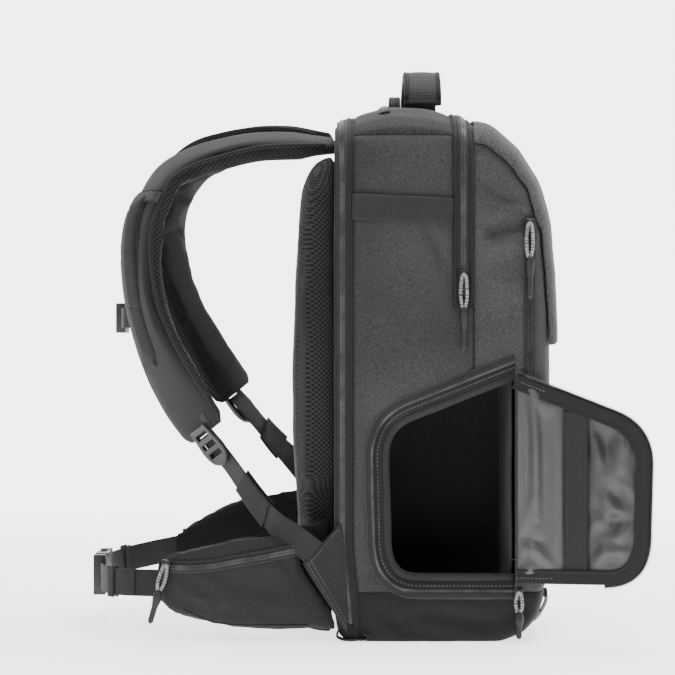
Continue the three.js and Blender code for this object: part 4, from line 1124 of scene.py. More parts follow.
# %% Padded rim and cell
rim_inset, rim_depth, rim_wide, rim_deep = 12.5 * MM, 8 * MM, 4.6 * MM, 5.5 * MM
rim_even = evened(sunk(along_port(rim_inset), rim_depth, 0.25), 4 * MM, relax=10)
rim_length = run_length(rim_even)


def rim_place(u, v):
    k = min(int(round(v * (len(rim_even) - 1))), len(rim_even) - 1)
    point, normal, along = rim_even[k]
    side = normal.cross(along).normalized()
    angle = 2 * math.pi * u
    swell = 1 + 0.1 * noise.noise(point * 30)
    return point + side * (rim_wide * math.cos(angle) * swell) + normal * (rim_deep * math.sin(angle) * swell)


rim_mesh = laid(20, len(rim_even) - 1, rim_place, (0.032, rim_length), closed=True, caps=True)
rim = piece("cell_rim_pad", rim_mesh, pad_cloth, "lining", replaces=["cell_rim"])
cell_low, cell_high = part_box("camera_cell")
cell = bmesh.new()
bmesh.ops.create_cube(cell, size=1)
for vert in cell.verts:
    vert.co = Vector(cell_low[k] + (vert.co[k] + 0.5) * (cell_high[k] - cell_low[k]) for k in range(3))
bmesh.ops.delete(cell, geom=[face for face in cell.faces if face.normal.y < -0.5], context="FACES")
bmesh.ops.subdivide_edges(cell, edges=cell.edges[:], cuts=24, use_grid_fill=True)
for vert in cell.verts:
    inward = Vector((0.003, -0.05, 0.14)) - vert.co
    vert.co += inward.normalized() * (2.2 * MM + 1.6 * MM * noise.noise(vert.co * 22))
cell_box = piece("cell_walls", cell, cell_cloth, "lining", replaces=["camera_cell"])
thickened(cell_box, 2 * MM)


def sill_place(u, v):
    """A soft fold of lining along the port's sill, which slopes up into the cell."""
    swell = 4.5 * math.sin(math.pi * v) * (0.55 + 0.45 * noise.noise(Vector((u * 6, 0, 3))))
    return Vector(((-14 + 86 * u) * MM, (-150 + 22 * v) * MM, (49.5 + swell + 2.4 * v) * MM))


thickened(piece("cell_sill_fold", laid(60, 8, sill_place, (0.086, 0.03)), lining_dark, "lining"), 1.2 * MM)
print("rim and cell are in")

# %% [markdown]
# ## The door
# The port's door hangs open towards the front of the bag, with its lining towards us. It is sewn from a
# satin lining stretched between a hem all round and a webbing down its middle, so each half puffs out.
# The outline is convex, so a fine grid trimmed by one plane per edge gives its shape.

# %% The door's surface
door_lift, door_wide, door_tall, door_swing = 10 * MM, 0.895, 0.89, 0.18
door_line = [
    Vector((port_hinge + 1 * MM + (port_hinge - p.x) * door_wide,
            port_sill + door_lift + (p.y - port_sill) * door_tall))
    for p in port_line
]
door_face_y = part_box("side_panel_left")[0].y - 0.3 * MM - 5 * MM
band_x = port_hinge + 0.46 * (port_hinge - port_rear) * door_wide
# Folds of the lining, as (x, z) lines in millimetres with a height and a width. Height is towards us.
door_folds = (
    fold([(80, 240), (85, 200), (86, 130), (82, 78)], -4.2, 6),
    fold([(101, 228), (104, 180), (103, 110), (100, 80)], -5.4, 9),
    fold([(92, 234), (94, 190), (95, 120)], 2.2, 4),
    fold([(76, 80), (84, 92), (96, 88), (106, 76)], 3.4, 5),
    fold([(78, 100), (84, 116), (90, 140)], 2.4, 5),
    fold([(80, 250), (92, 240), (104, 222)], 2.4, 5),
    fold([(148, 212), (158, 196), (166, 176)], -4.0, 7),
    fold([(176, 198), (170, 184), (164, 160), (160, 128)], 3.6, 6),
    fold([(160, 150), (170, 141), (178, 134)], -3.2, 6),
    fold([(146, 190), (154, 168), (156, 142)], 3.0, 6),
    fold([(146, 96), (160, 112), (178, 118)], -3.4, 6),
    fold([(144, 72), (158, 88), (176, 88)], 3.2, 5),
    fold([(178, 190), (175, 172), (178, 152)], 2.6, 5),
    fold([(178, 118), (172, 104), (166, 88)], 2.8, 5),
    fold([(148, 130), (160, 122), (172, 118)], -2.6, 5),
)


def door_plane(x):
    """The y of the open door, which leans outwards from its hinge."""
    return door_face_y - door_swing * (x - port_hinge)


def inside_line(x, z, line):
    """How far a point lies inside a convex line that runs round it."""
    best = 1.0
    for a, b in zip(line, line[1:] + line[:1]):
        run = (b - a).normalized()
        best = min(best, abs((x - a.x) * run.y - (z - a.y) * run.x))
    return best


def door_height(x, z):
    """How far the lining stands out of the door's plane."""
    to_edge = inside_line(x, z, door_line)
    to_band = max(abs(x - band_x) - 10 * MM, 0)
    pocket = min(to_edge, to_band)
    puff = 6.2 * MM * (1 - math.exp(-(pocket / (13 * MM)) ** 1.3))
    folds = float(fold_relief(np.array([[x, z]]), door_folds)[0])
    grain = 0.9 * MM * noise.noise(Vector((x, 0, z)) * 38)
    return puff - folds * min(pocket / (9 * MM), 1) + grain * min(pocket / (8 * MM), 1)


def door_point(x, z, lift=0.0):
    return Vector((x, door_plane(x) - door_height(x, z) - lift, z))


low = Vector((min(p.x for p in door_line), min(p.y for p in door_line)))
high = Vector((max(p.x for p in door_line), max(p.y for p in door_line)))
sheet = bmesh.new()
bmesh.ops.create_grid(sheet, x_segments=72, y_segments=110, size=0.5)
for vert in sheet.verts:
    right, up = vert.co.x + 0.5, vert.co.y + 0.5
    vert.co = Vector((low.x + right * (high.x - low.x), 0, low.y + up * (high.y - low.y)))
centre = sum(door_line, Vector((0, 0))) / len(door_line)
for a, b in zip(door_line, door_line[1:] + door_line[:1]):
    run = (b - a).normalized()
    out = Vector((run.y, 0, -run.x))
    if out.dot(Vector((a.x - centre.x, 0, a.y - centre.y))) < 0:
        out.negate()
    bmesh.ops.bisect_plane(
        sheet, geom=sheet.verts[:] + sheet.edges[:] + sheet.faces[:], dist=1e-6,
        plane_co=(a.x, 0, a.y), plane_no=out, clear_outer=True,
    )
for vert in sheet.verts:
    vert.co = door_point(vert.co.x, vert.co.z)
bmesh.ops.recalc_face_normals(sheet, faces=sheet.faces)
if sum(face.normal.y for face in sheet.faces) > 0:
    bmesh.ops.reverse_faces(sheet, faces=sheet.faces)
door = piece("port_door_lining", sheet, [lining_satin, lining_dark], "lining", replaces=["port_door"],
             chooser=lambda place, _: int(place.x > band_x))
thickened(door, 4.5 * MM)
modified(door, "SMOOTH", factor=0.5, iterations=2)
print("the door's lining has", len(door.data.polygons), "faces")

# %% Hem, webbing and zip of the door
def on_door(line, lift=0.0, steps=6):
    """Samples on the door's face along a line of (x, z) points."""
    samples = []
    for a, b in zip(line, line[1:]):
        for k in range(steps):
            point = a.lerp(b, k / steps)
            samples.append((door_point(point.x, point.y, lift), Vector((-door_swing, -1, 0)).normalized()))
    samples.append((door_point(*line[-1], lift), Vector((-door_swing, -1, 0)).normalized()))
    return samples


hem_width = 13 * MM
hem_line = on_door(inset(door_line, -hem_width / 2 + 0.5 * MM))
hem = strip(evened(hem_line, 3 * MM, relax=6), hem_width,
            lambda u: (1.6 + 1.2 * math.exp(-((u - 0.04) / 0.1) ** 2)) * MM, 10)
thickened(piece("door_hem", hem, binding_cloth, "lining"), 1.6 * MM)
piping("door_edge_roll", on_door(inset(door_line, -0.6 * MM)), 2.1 * MM, lift=-1.2 * MM, slot="lining")
stitches("door_hem_stitch", on_door(inset(door_line, -4.2 * MM), 2.8 * MM), slot="lining",
         pitch=3.6 * MM, length=2.0 * MM, width=0.8 * MM, material=thread)
outer_line = door_line[:-1]
door_zip_line = evened(on_door(inset(outer_line, 2.8 * MM)), tooth_pitch)
door_tape = strip(evened(on_door(inset(outer_line, 1.2 * MM)), 4 * MM), 5 * MM, lambda u: -1.2 * MM, 4)
thickened(piece("door_zip_tape_band", door_tape, tape_cloth, "zip", replaces=["door_zip_tape"]), 0.9 * MM)
door_teeth = teeth(door_zip_line, rows=(0.6 * MM,), size=(3.0 * MM, 1.0 * MM, 1.5 * MM), lift=-1.2 * MM)
piece("door_zip_teeth", door_teeth, coil_plastic, "zip", flat=True)
heights = (0.30 - 0.0005 * k for k in range(400))
top_end = next(z for z in heights if z < high.y and inside_line(band_x, z, door_line) > 9 * MM)
bottom_end = low.y + 9 * MM
band_line = on_door([Vector((band_x, top_end)), Vector((band_x, bottom_end))], 0.6 * MM, 60)
band_even = evened(band_line, 3 * MM, relax=8)
banded(band_even, 22 * MM, 1.4 * MM, lambda v: 0.6 * MM * math.sin(math.pi * v), "door_webbing_band",
       "door_webbing")
print("door webbing from z =", round(bottom_end, 3), "to", round(top_end, 3))

# %% [markdown]
# ## The harness
# Straps, belt and webbing are bands that follow a route in space. A route is a short list of stations,
# and a centripetal Catmull-Rom curve runs smoothly through them without loops. The other columns of a
# station, such as its width, are blended evenly between them.

# %% Following a route
def follow(rows, steps):
    """Stations at even shares of a route: each row holds a point and then any numbers or vectors."""
    points = [np.array(row[0], float) for row in rows]
    points = [2 * points[0] - points[1], *points, 2 * points[-1] - points[-2]]
    spans = [float(np.linalg.norm(b - a)) ** 0.5 for a, b in zip(points, points[1:])]
    stations = []
    for k in range(steps + 1):
        place = k / steps * (len(rows) - 1)
        low = min(int(place), len(rows) - 2)
        blend = place - low
        a, b, c, d = points[low:low + 4]
        first, second, third = spans[low:low + 3]
        start = ((b - a) / first - (c - a) / (first + second) + (c - b) / second) * second
        end = ((c - b) / second - (d - b) / (second + third) + (d - c) / third) * second
        t = blend
        at = (b * (2 * t ** 3 - 3 * t ** 2 + 1) + start * (t ** 3 - 2 * t ** 2 + t)
              + c * (3 * t ** 2 - 2 * t ** 3) + end * (t ** 3 - t ** 2))
        extra = [p + (q - p) * blend for p, q in zip(rows[low][1:], rows[low + 1][1:])]
        stations.append([Vector(at), *extra])
    for k, station in enumerate(stations):
        before, after = stations[max(k - 1, 0)][0], stations[min(k + 1, steps)][0]
        station.append((after - before).normalized())
    return stations


def band_frame(along, across=None, outward=None):
    """Two directions of a band: across its width, and out through its face."""
    if across is None:
        across = along.cross(outward)
    across = (across - along * across.dot(along)).normalized()
    out = across.cross(along).normalized()
    if outward is not None and out.dot(outward) < 0:
        out.negate()
    return across, out


# The routes repeat the frame's own: how far each section reaches back from the anchor, how far it has
# dropped, how far it stands from the mid-plane, its roll in degrees, its width and its thickness.
strap_width, strap_thick, strap_anchor, strap_reach, strap_drop, strap_spread = (
    0.070, 0.018, Vector((-0.102, 0, 0.480)), 0.189, 0.290, 0.097)
strap_routes = {
    "left": (
        (0, 0, 0.52, 8, 0.8, 0.55), (0.16, 0, 0.58, 12, 0.95, 0.95), (0.36, 0.005, 0.64, 14, 1, 1),
        (0.55, 0.032, 0.7, 16, 1, 1), (0.71, 0.064, 0.76, 18, 1, 1), (0.832, 0.116, 0.82, 20, 1, 1),
        (0.9, 0.195, 0.87, 23, 1, 1), (0.948, 0.265, 0.9, 26, 1, 1), (0.965, 0.345, 0.93, 28, 1, 1),
        (0.958, 0.455, 0.95, 29, 1, 1), (0.929, 0.565, 0.96, 30, 1.02, 1), (0.871, 0.68, 0.97, 32, 1.1, 1),
        (0.8, 0.78, 0.98, 34, 1.15, 1), (0.718, 0.875, 0.99, 37, 1.12, 0.8), (0.641, 0.95, 1, 39, 1.02, 0.6),
        (0.611, 0.975, 1, 40, 0.75, 0.5),
    ),
    "right": (
        (0, -0.035, 0.52, 8, 0.8, 0.55), (0.17, -0.045, 0.58, 12, 0.95, 0.95), (0.37, -0.045, 0.64, 14, 1, 1),
        (0.56, -0.025, 0.7, 16, 1, 1), (0.69, 0.005, 0.76, 20, 1, 1), (0.79, 0.055, 0.82, 22, 1, 1),
        (0.875, 0.135, 0.87, 24, 1, 1), (0.92, 0.25, 0.9, 26, 1, 1), (0.905, 0.38, 0.93, 28, 1, 1),
        (0.833, 0.525, 0.95, 29, 1, 1), (0.711, 0.675, 0.96, 30, 1, 1), (0.588, 0.797, 0.98, 32, 1, 0.8),
        (0.538, 0.838, 1, 34, 0.95, 0.6), (0.512, 0.858, 1, 34, 0.72, 0.5),
    ),
}


def harness_point(side, reach, drop, apart):
    """A place given as shares of the strap's reach, drop and spread."""
    return strap_anchor + Vector((-reach * strap_reach, side * apart * strap_spread, -drop * strap_drop))


def strap_stations(side, route, steps):
    """Even sections along a strap: place, run, across, out, width and thickness."""
    rows = []
    for reach, drop, apart, roll, wide, thick in route:
        at = harness_point(side, reach, drop, apart)
        rows.append((at, math.radians(roll), wide * strap_width, thick * strap_thick))
    stations = []
    for at, roll, width, thick, along in follow(rows, steps):
        away = Vector((along.z, 0, -along.x)).normalized()
        across = Vector((0, side * math.cos(roll), 0)) - away * math.sin(roll)
        across, out = band_frame(along, across, away)
        stations.append((at, along, across, out, width, thick))
    return stations


print("routes for", len(strap_routes), "straps")

# %% [markdown]
# ### Shoulder straps
# A strap is foam between an outer cloth and a mesh inner face, closed by a binding round its edge. Its
# section is a rounded slab. The grid goes right round it, so one UV map can put mesh on the inner face
# and on the band along the inner edge, and cloth on the rest. Air pressure in a cloth simulation then
# puffs it as foam does, before the seams and edging go on.

# %% Strap pads
strap_steps = 150
strap_round = 44
strap_power = 3.2


def slab(u, power):
    """A point of a rounded slab's outline for a share u of the way round: across, then out."""
    angle = 2 * math.pi * u
    c, n = math.cos(angle), math.sin(angle)
    reach = (abs(c) ** power + abs(n) ** power) ** (-1 / power)
    return c * reach, n * reach


def puffed(made, pressure, cap, pinned=None, frames=20, quality=5):
    """A cloth simulation under air pressure. No point may move further than the cap."""
    rest = np.empty(len(made.data.vertices) * 3)
    made.data.vertices.foreach_get("co", rest)
    cloth = made.modifiers.new("puff", "CLOTH")
    cloth.settings.quality = quality
    cloth.settings.mass = 0.3
    cloth.settings.tension_stiffness = 25
    cloth.settings.compression_stiffness = 12
    cloth.settings.bending_stiffness = 1.5
    cloth.settings.use_pressure = True
    cloth.settings.uniform_pressure_force = pressure
    cloth.settings.effector_weights.gravity = 0
    cloth.collision_settings.use_collision = False
    if pinned:
        group = made.vertex_groups.new(name="pinned")
        group.add(pinned, 1.0, "REPLACE")
        cloth.settings.vertex_group_mass = "pinned"
    cloth.point_cache.frame_start, cloth.point_cache.frame_end = 1, frames
    for frame_number in range(1, frames + 1):
        bpy.context.scene.frame_set(frame_number)
    graph = bpy.context.evaluated_depsgraph_get()
    data = bpy.data.meshes.new_from_object(made.evaluated_get(graph))
    moved = np.empty(len(data.vertices) * 3)
    data.vertices.foreach_get("co", moved)
    move = (moved - rest).reshape(-1, 3)
    size = np.linalg.norm(move, axis=1, keepdims=True)
    move *= np.minimum(1, cap / np.maximum(size, 1e-9))
    data.vertices.foreach_set("co", (rest.reshape(-1, 3) + move).ravel())
    old, made.data = made.data, data
    bpy.data.meshes.remove(old)
    made.modifiers.clear()
    made.vertex_groups.clear()
    bpy.context.scene.frame_set(1)
    return made


def strap_look(c, n, v):
    """Cloth on the outer face, open mesh on the edge walls, and fine mesh on the wearer's side."""
    if n < -0.35 and abs(c) < 0.93:
        return 2
    if abs(c) > (0.72 if v < 0.42 else 0.93) and n < 0.4:
        return 1
    return 0


straps = {}
for label, side in (("left", -1), ("right", 1)):
    stations = strap_stations(side, strap_routes[label], strap_steps)
    length = run_length(stations)

    def strap_place(u, v, lift=0.0, stations=stations):
        at, along, across, out, width, thick = stations[min(int(round(v * strap_steps)), strap_steps)]
        c, n = slab(u, strap_power)
        root = 5 * MM * max(0, 1 - v * strap_steps / 4)
        return at - along * root + across * ((width / 2 + lift) * c) + out * ((thick / 2 + lift) * n)

    girth = 2 * (strap_width + strap_thick) * 0.92
    mesh = laid(strap_round, strap_steps, strap_place, (girth, length), closed=True, caps=True)
    made = piece(f"strap_pad_cloth_{label}", mesh, [strap_cloth, strap_mesh, fine_mesh], "strap_fabric",
                 replaces=[f"strap_pad_{label}"])
    centres = kdtree.KDTree(strap_steps + 1)
    for k, station in enumerate(stations):
        centres.insert(station[0], k)
    centres.balance()
    for face in made.data.polygons:
        _, k, _ = centres.find(face.center)
        at, along, across, out, width, thick = stations[k]
        off = face.center - at
        c, n = off.dot(across) / (width / 2), off.dot(out) / (thick / 2)
        face.material_index = strap_look(c, n, k / strap_steps)
    puffed(made, 4.0, 4 * MM)
    straps[label] = (side, stations, made)
    print("strap", label, round(length, 3), "m long,", len(made.data.polygons), "faces")

# %% [markdown]
# ### Strap trim
# The outer face carries the real work of a strap: a binding round its edges, a lapped seam where two
# lengths of cloth meet, a sleeve for the sternum strap to slide in, and a patch at the foot that holds
# the ladder lock. They are laid on the strap with its own sections, a little above its cloth.

# %% Strap trim
def on_strap(stations, share, c, n, lift):
    """A point on a strap at a share of its length, at c across its half width and n out."""
    at, along, across, out, width, thick = stations[min(max(int(round(share * strap_steps)), 0), strap_steps)]
    return at + across * (width / 2 * c) + out * (thick / 2 * n + lift)


def strap_face(c):
    """How far out the strap's rounded face lies at a share of its half width."""
    return max(1 - abs(c) ** strap_power, 0) ** (1 / strap_power)


def face_sample(stations, share, c, lift=0.0):
    k = min(max(int(round(share * strap_steps)), 0), strap_steps)
    across, out = stations[k][2], stations[k][3]
    normal = (out + across * (0.9 * abs(c) ** 5 * (1 if c > 0 else -1))).normalized()
    return on_strap(stations, share, c, strap_face(min(abs(c), 0.995)), lift), normal


def patch(stations, from_share, to_share, from_c, to_c, lift, rows, across=10, swell=0.0):
    """A cloth patch lying on the outer face between two lines of c."""
    def place(u, v):
        share = from_share + (to_share - from_share) * v
        c = from_c(v) + (to_c(v) - from_c(v)) * u
        edge = min(u, 1 - u, v * 4, (1 - v) * 4) * 2
        point, normal = face_sample(stations, share, c)
        return point + normal * (lift + swell * min(edge, 1) ** 0.5)
    return laid(across, rows, place, (0.04, 0.1))


for label, (side, stations, _) in straps.items():
    for edge, c in (("inner", -0.97), ("outer", 0.97)):
        line = [face_sample(stations, k / strap_steps, c, 0.4 * MM) for k in range(3, strap_steps - 2)]
        piping(f"strap_edge_{edge}_{label}", line, 1.9 * MM, lift=0.2 * MM, slot="strap_fabric")
    lap = patch(stations, 0.385, 0.42, lambda v: -0.94, lambda v: 0.94, 2.2 * MM, 10, 16)
    thickened(piece(f"strap_lap_{label}", lap, strap_cloth, "strap_fabric"), 1.6 * MM)
    for row, share in enumerate((0.392, 0.413)):
        line = [face_sample(stations, share, -0.9 + 1.8 * k / 30, 2.3 * MM) for k in range(31)]
        stitches(f"strap_lap_stitch_{label}_{row}", line, slot="strap_fabric")
    sleeve_cloth = patch(
        stations, 0.40, 0.775,
        lambda v: -0.72, lambda v: 0.16 + 0.22 * math.sin(math.pi * v) - 0.5 * max(v - 0.9, 0) * 4,
        1.2 * MM, 60, 14, 4.4 * MM)
    thickened(piece(f"strap_sleeve_cloth_{label}", sleeve_cloth, strap_cloth, "strap_fabric",
                    replaces=[f"strap_sleeve_{label}"]), 1.4 * MM)
    mouth = [face_sample(stations, 0.405 + 0.365 * k / 40, 0.2 + 0.22 * math.sin(math.pi * k / 40), 0.6 * MM)
             for k in range(41)]
    piping(f"strap_sleeve_mouth_{label}", mouth, 1.7 * MM, slot="strap_fabric", cloth=boot_cloth)
    foot = patch(stations, 0.905, 0.985, lambda v: -0.62, lambda v: 0.62, 1.2 * MM, 16, 14)
    thickened(piece(f"strap_foot_patch_{label}", foot, webbing_cloth, "webbing"), 1.3 * MM)
    corners = [(0.912, -0.5), (0.912, 0.5), (0.975, 0.5), (0.975, -0.5), (0.912, -0.5), (0.975, 0.5)]
    crossing = []
    for (s0, c0), (s1, c1) in zip(corners, corners[1:]):
        for k in range(8):
            crossing.append(face_sample(stations, s0 + (s1 - s0) * k / 8, c0 + (c1 - c0) * k / 8, 1.3 * MM))
    stitches(f"strap_foot_stitch_{label}", crossing, slot="strap_fabric", material=thread, pitch=2.6 * MM,
             length=1.7 * MM)
print("strap trim is on")

# %% [markdown]
# ### Straps of webbing
# The lower webbing, the belt and the sternum strap are flat ribbons. Each follows its own route with a
# section of constant width, and gets its thickness and a soft edge afterwards.

# %% Webbing along a route
def ribbon(name, stations, width, thick, node=None, cloth=webbing_cloth, slot="webbing", lift=0.0):
    """Webbing whose stations give a place, a direction along, one across and one out."""
    last = len(stations) - 1
    length = run_length(stations)

    def place(u, v):
        at, along, across, out = stations[int(round(v * last))]
        return at + across * (width * (u - 0.5)) + out * (lift + thick / 2)
    made = piece(name, laid(8, last, place, (width, length)), cloth, slot, replaces=[node] if node else [])
    thickened(made, thick)
    return modified(made, "BEVEL", width=0.45 * MM, segments=2, limit_method="ANGLE")


web_wide, web_thick, lock_length, lock_plate, lock_bevel = 25 * MM, 1.8 * MM, 42 * MM, 3.4 * MM, 0.8 * MM
web_routes = {
    "left": ((0.35, 1.212, 1.3), (0.26, 1.27, 1.5), (0.165, 1.312, 1.58), (0.04, 1.375, 1.61)),
    "right": ((0.32, 1.032, 1.2), (0.22, 1.105, 1.42), (0.14, 1.165, 1.57), (0.02, 1.25, 1.61)),
}
for label, (side, stations, _) in straps.items():
    coarse = strap_stations(side, strap_routes[label], 19)
    at, along, across, out, width, thick = coarse[-1]
    along = (coarse[-1][0] - coarse[-2][0]).normalized()
    lift = 1.25 * thick / 2 + 0.3 * MM + lock_plate / 2 + lock_bevel
    web_lift = lift - lock_plate / 2 - lock_bevel - 0.3 * MM - web_thick / 2
    rows = [(at + along * (share * lock_length) + out * web_lift, np.array(out)) for share in (0, 0.42, 0.84)]
    for k, (reach, drop, apart) in enumerate(web_routes[label]):
        facing = out.lerp(Vector((0, side, 0)), (k + 1) / 4).normalized()
        rows.append((harness_point(side, reach, drop, apart), np.array(facing)))
    path = []
    for point, facing, run in follow(rows, 84):
        across, out_here = band_frame(run, outward=Vector(facing))
        path.append((point, run, across, out_here))
    ribbon(f"strap_webbing_band_{label}", path[:-3], web_wide, web_thick, f"strap_webbing_{label}")
    loop_at = path[34:50]
    for where, sign in (("front", 1), ("rear", -1)):
        keeper_band = [(p, r, a, o * sign) for p, r, a, o in loop_at]
        node = f"webbing_keeper_{label}" if sign > 0 else None
        ribbon(f"webbing_keeper_{where}_{label}", keeper_band, web_wide + 4 * MM, 1.5 * MM, node,
               binding_cloth, lift=(1.5 if sign > 0 else 1.3) * MM)
print("lower webbing is on")

# %% Belt and sternum strap
fin_reach, fin_side, back_plane = 174 * MM, 131 * MM, -97.2 * MM
fin_tip = back_plane - 0.98 * fin_reach
belt_reach, belt_level, belt_height = 64 * MM, 51 * MM, 26 * MM
belt_rows = {
    "left": (-1, 0, ((-0.12, 0.87), (0.3, 0.83), (0.62, 0.76), (0.88, 0.54), (0.98, 0.3))),
    "right": (1, 12 * MM, ((-0.12, 0.87), (0.35, 0.82), (0.68, 0.72), (0.9, 0.5), (0.98, 0.3))),
}
upright = Vector((0, 0, 1))
for label, (side, raised, rows) in belt_rows.items():
    tip_across = 0.818 * fin_side
    table = [(Vector((fin_tip - reach * belt_reach, side * across / 0.86 * tip_across,
                      belt_level + raised * (1 - reach))),) for reach, across in rows]
    path = []
    for point, run in follow(table, 72):
        across, out = band_frame(run, upright, Vector((-1, side * 2, 0)))
        path.append((point, run, across, out))
    inner = [station for station in path if abs(station[0].y) > 34 * MM]
    ribbon(f"hip_webbing_band_{label}", inner, belt_height, web_thick, f"hip_webbing_{label}", lift=-0.9 * MM)
    folded = path[20:56]
    ribbon(f"hip_webbing_tail_{label}", folded, belt_height - 1 * MM, web_thick, lift=1.2 * MM)
    around = path[37:44]
    for where, sign in (("outer", 1), ("inner", -1)):
        keeper_band = [(p, r, a, o * sign) for p, r, a, o in around]
        node = f"belt_keeper_{label}" if sign > 0 else None
        ribbon(f"belt_keeper_{where}_{label}", keeper_band, belt_height + 4 * MM, 1.5 * MM, node,
               binding_cloth, lift=(3.2 if sign > 0 else 1.2) * MM)

sternum_height, sternum_x = 309 * MM, -312 * MM
for label, (side, stations, _) in straps.items():
    near = min(strap_stations(side, strap_routes[label], 19), key=lambda s: abs(s[0].z - sternum_height))
    at, along, across, out, width, thick = near
    inward = -side * (1 if across.y > 0 else -1)

    def beside(distance, lift):
        point = at + across * (inward * distance) + out * lift
        return Vector((point.x, point.y, sternum_height))
    table = [
        (beside(0.3 * strap_width, 0.3 * strap_thick),), (beside(0.53 * strap_width, 0.75 * strap_thick),),
        (Vector((sternum_x + 3 * MM, side * 31.3 * MM, sternum_height)),),
        (Vector((sternum_x, side * 20.7 * MM, sternum_height)),),
    ]
    path = []
    for point, run in follow(table, 60):
        across_here, out_here = band_frame(run, upright, Vector((-1, 0, 0)))
        path.append((point, run, across_here, out_here))
    path = [station for station in path if abs(station[0].y) > 22 * MM][8:]
    ribbon(f"sternum_webbing_band_{label}", path, 20 * MM, web_thick, f"sternum_webbing_{label}",
           lift=-0.9 * MM)
print("belt and sternum strap are on")

# %% [markdown]
# ### Padded harness pieces
# The back pad, the hip fins and their pockets are foam in cloth. Each starts as a copy of its solid,
# which a voxel remesh turns into an even net. A cloth simulation under air pressure then rounds it as
# foam does, a cap keeps it near its solid, and one subdivision smooths it.

# %% Padded pieces from their solids
def padded_copy(name, node, cloth, voxel=0.004, smooth=3, cap=5 * MM, shrink=1.2 * MM, relief=None,
                attach=None):
    """Foam in cloth: the node's solid remeshed, drawn in a little, puffed up and given its relief."""
    made = stood(name, copied(node))
    modified(made, "REMESH", mode="VOXEL", voxel_size=voxel)
    modified(made, "SMOOTH", factor=0.5, iterations=smooth)
    for vert in made.data.vertices:
        vert.co -= vert.normal * shrink
    puffed(made, 4.0, cap)
    modified(made, "SUBSURF", levels=1, render_levels=1)
    places = np.array([vert.co for vert in made.data.vertices])
    normals = np.array([vert.normal for vert in made.data.vertices])
    if attach is not None:
        places = attach(places)
    rise = 0.7 * MM * mottle(places, 26, 3) + 0.3 * MM * mottle(places, 70, 4)
    if relief is not None:
        rise += relief(places, normals)
    made.data.vertices.foreach_set("co", (places + normals * rise[:, None]).ravel())
    made.data.polygons.foreach_set("use_smooth", [True] * len(made.data.polygons))
    made.data.materials.append(cloth)
    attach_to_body(made, "root")
    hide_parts(node)
    print(name, len(made.data.polygons), "faces")


pad_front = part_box("back_pad")[1].x


def channel_seams(places, normals):
    """Two sewn channels down the wearer's face."""
    rise = np.zeros(len(places))
    rear = normals[:, 0] < -0.4
    for y in (-29 * MM, 29 * MM):
        rise[rear] -= 2.2 * MM * np.exp(-((places[rear, 1] - y) / (3.2 * MM)) ** 2)
    return rise


def against_back(places):
    """The cushion's front is pushed up to the back panel it is sewn to."""
    near = np.clip((places[:, 0] + 0.112) / 0.014, 0, 1)
    moved = places.copy()
    moved[:, 0] += near * 3.4 * MM
    moved[:, 0] = np.minimum(moved[:, 0], pad_front + 1.2 * MM)
    return moved


padded_copy("back_pad_cushion", "back_pad", back_cover, voxel=0.005, cap=4 * MM,
            relief=channel_seams, attach=against_back)
pocket_folds = (
    fold([(-250, 40), (-225, 30), (-190, 22)], 1.2, 7),
    fold([(-200, 62), (-170, 52), (-140, 50)], 1.3, 12),
    fold([(-150, 84), (-132, 66), (-118, 40)], 1.2, 7),
    fold([(-180, 34), (-150, 24), (-126, 16)], 1.1, 8),
    fold([(-232, 58), (-214, 44), (-200, 30)], 0.9, 6),
)


def pocket_creases(places, normals):
    """Folds on the pocket's outer face, fading out where it turns over."""
    facing = np.clip(np.abs(normals[:, 1]) * 1.4 - 0.4, 0, 1)
    return fold_relief(places[:, [0, 2]], pocket_folds) * facing


for label in ("left", "right"):
    padded_copy(f"hip_fin_cushion_{label}", f"hip_fin_{label}", fin_cover, voxel=0.0035,
                smooth=2, cap=3 * MM, shrink=0.6 * MM)
    padded_copy(f"hip_pocket_cloth_{label}", f"hip_pocket_{label}", hip_cloth, voxel=0.0035,
                smooth=2, cap=4 * MM, shrink=0.8 * MM, relief=pocket_creases)

# %% [markdown]
# ### Hip pocket zips and wings
# The pocket's zip runs along its upper edge in a shallow curve. The wing is the stitched triangle that
# carries the belt's load into the bag: two layers of cloth with a folded edge and a double row of
# stitches.

# %% Hip zip and wing
def over(tree, x, z, side):
    """A sample on a hip pocket's outer face."""
    place, normal, _, _ = tree.ray_cast(Vector((x, side * 0.35, z)), Vector((0, -side, 0)))
    if place is None:
        place, normal = Vector((x, side * 0.15, z)), Vector((0, side, 0))
    return place, normal if normal.y * side > 0 else -normal


def pocket_foot(x):
    """The height of the pocket's lower edge, which is level and then rises to its tip, in millimetres."""
    curl_start, curl_length, curl_rise = -190, 70, 26
    curl = curl_rise * ((x - curl_start) / curl_length) ** 2 if x < curl_start else 0
    return 16 + curl


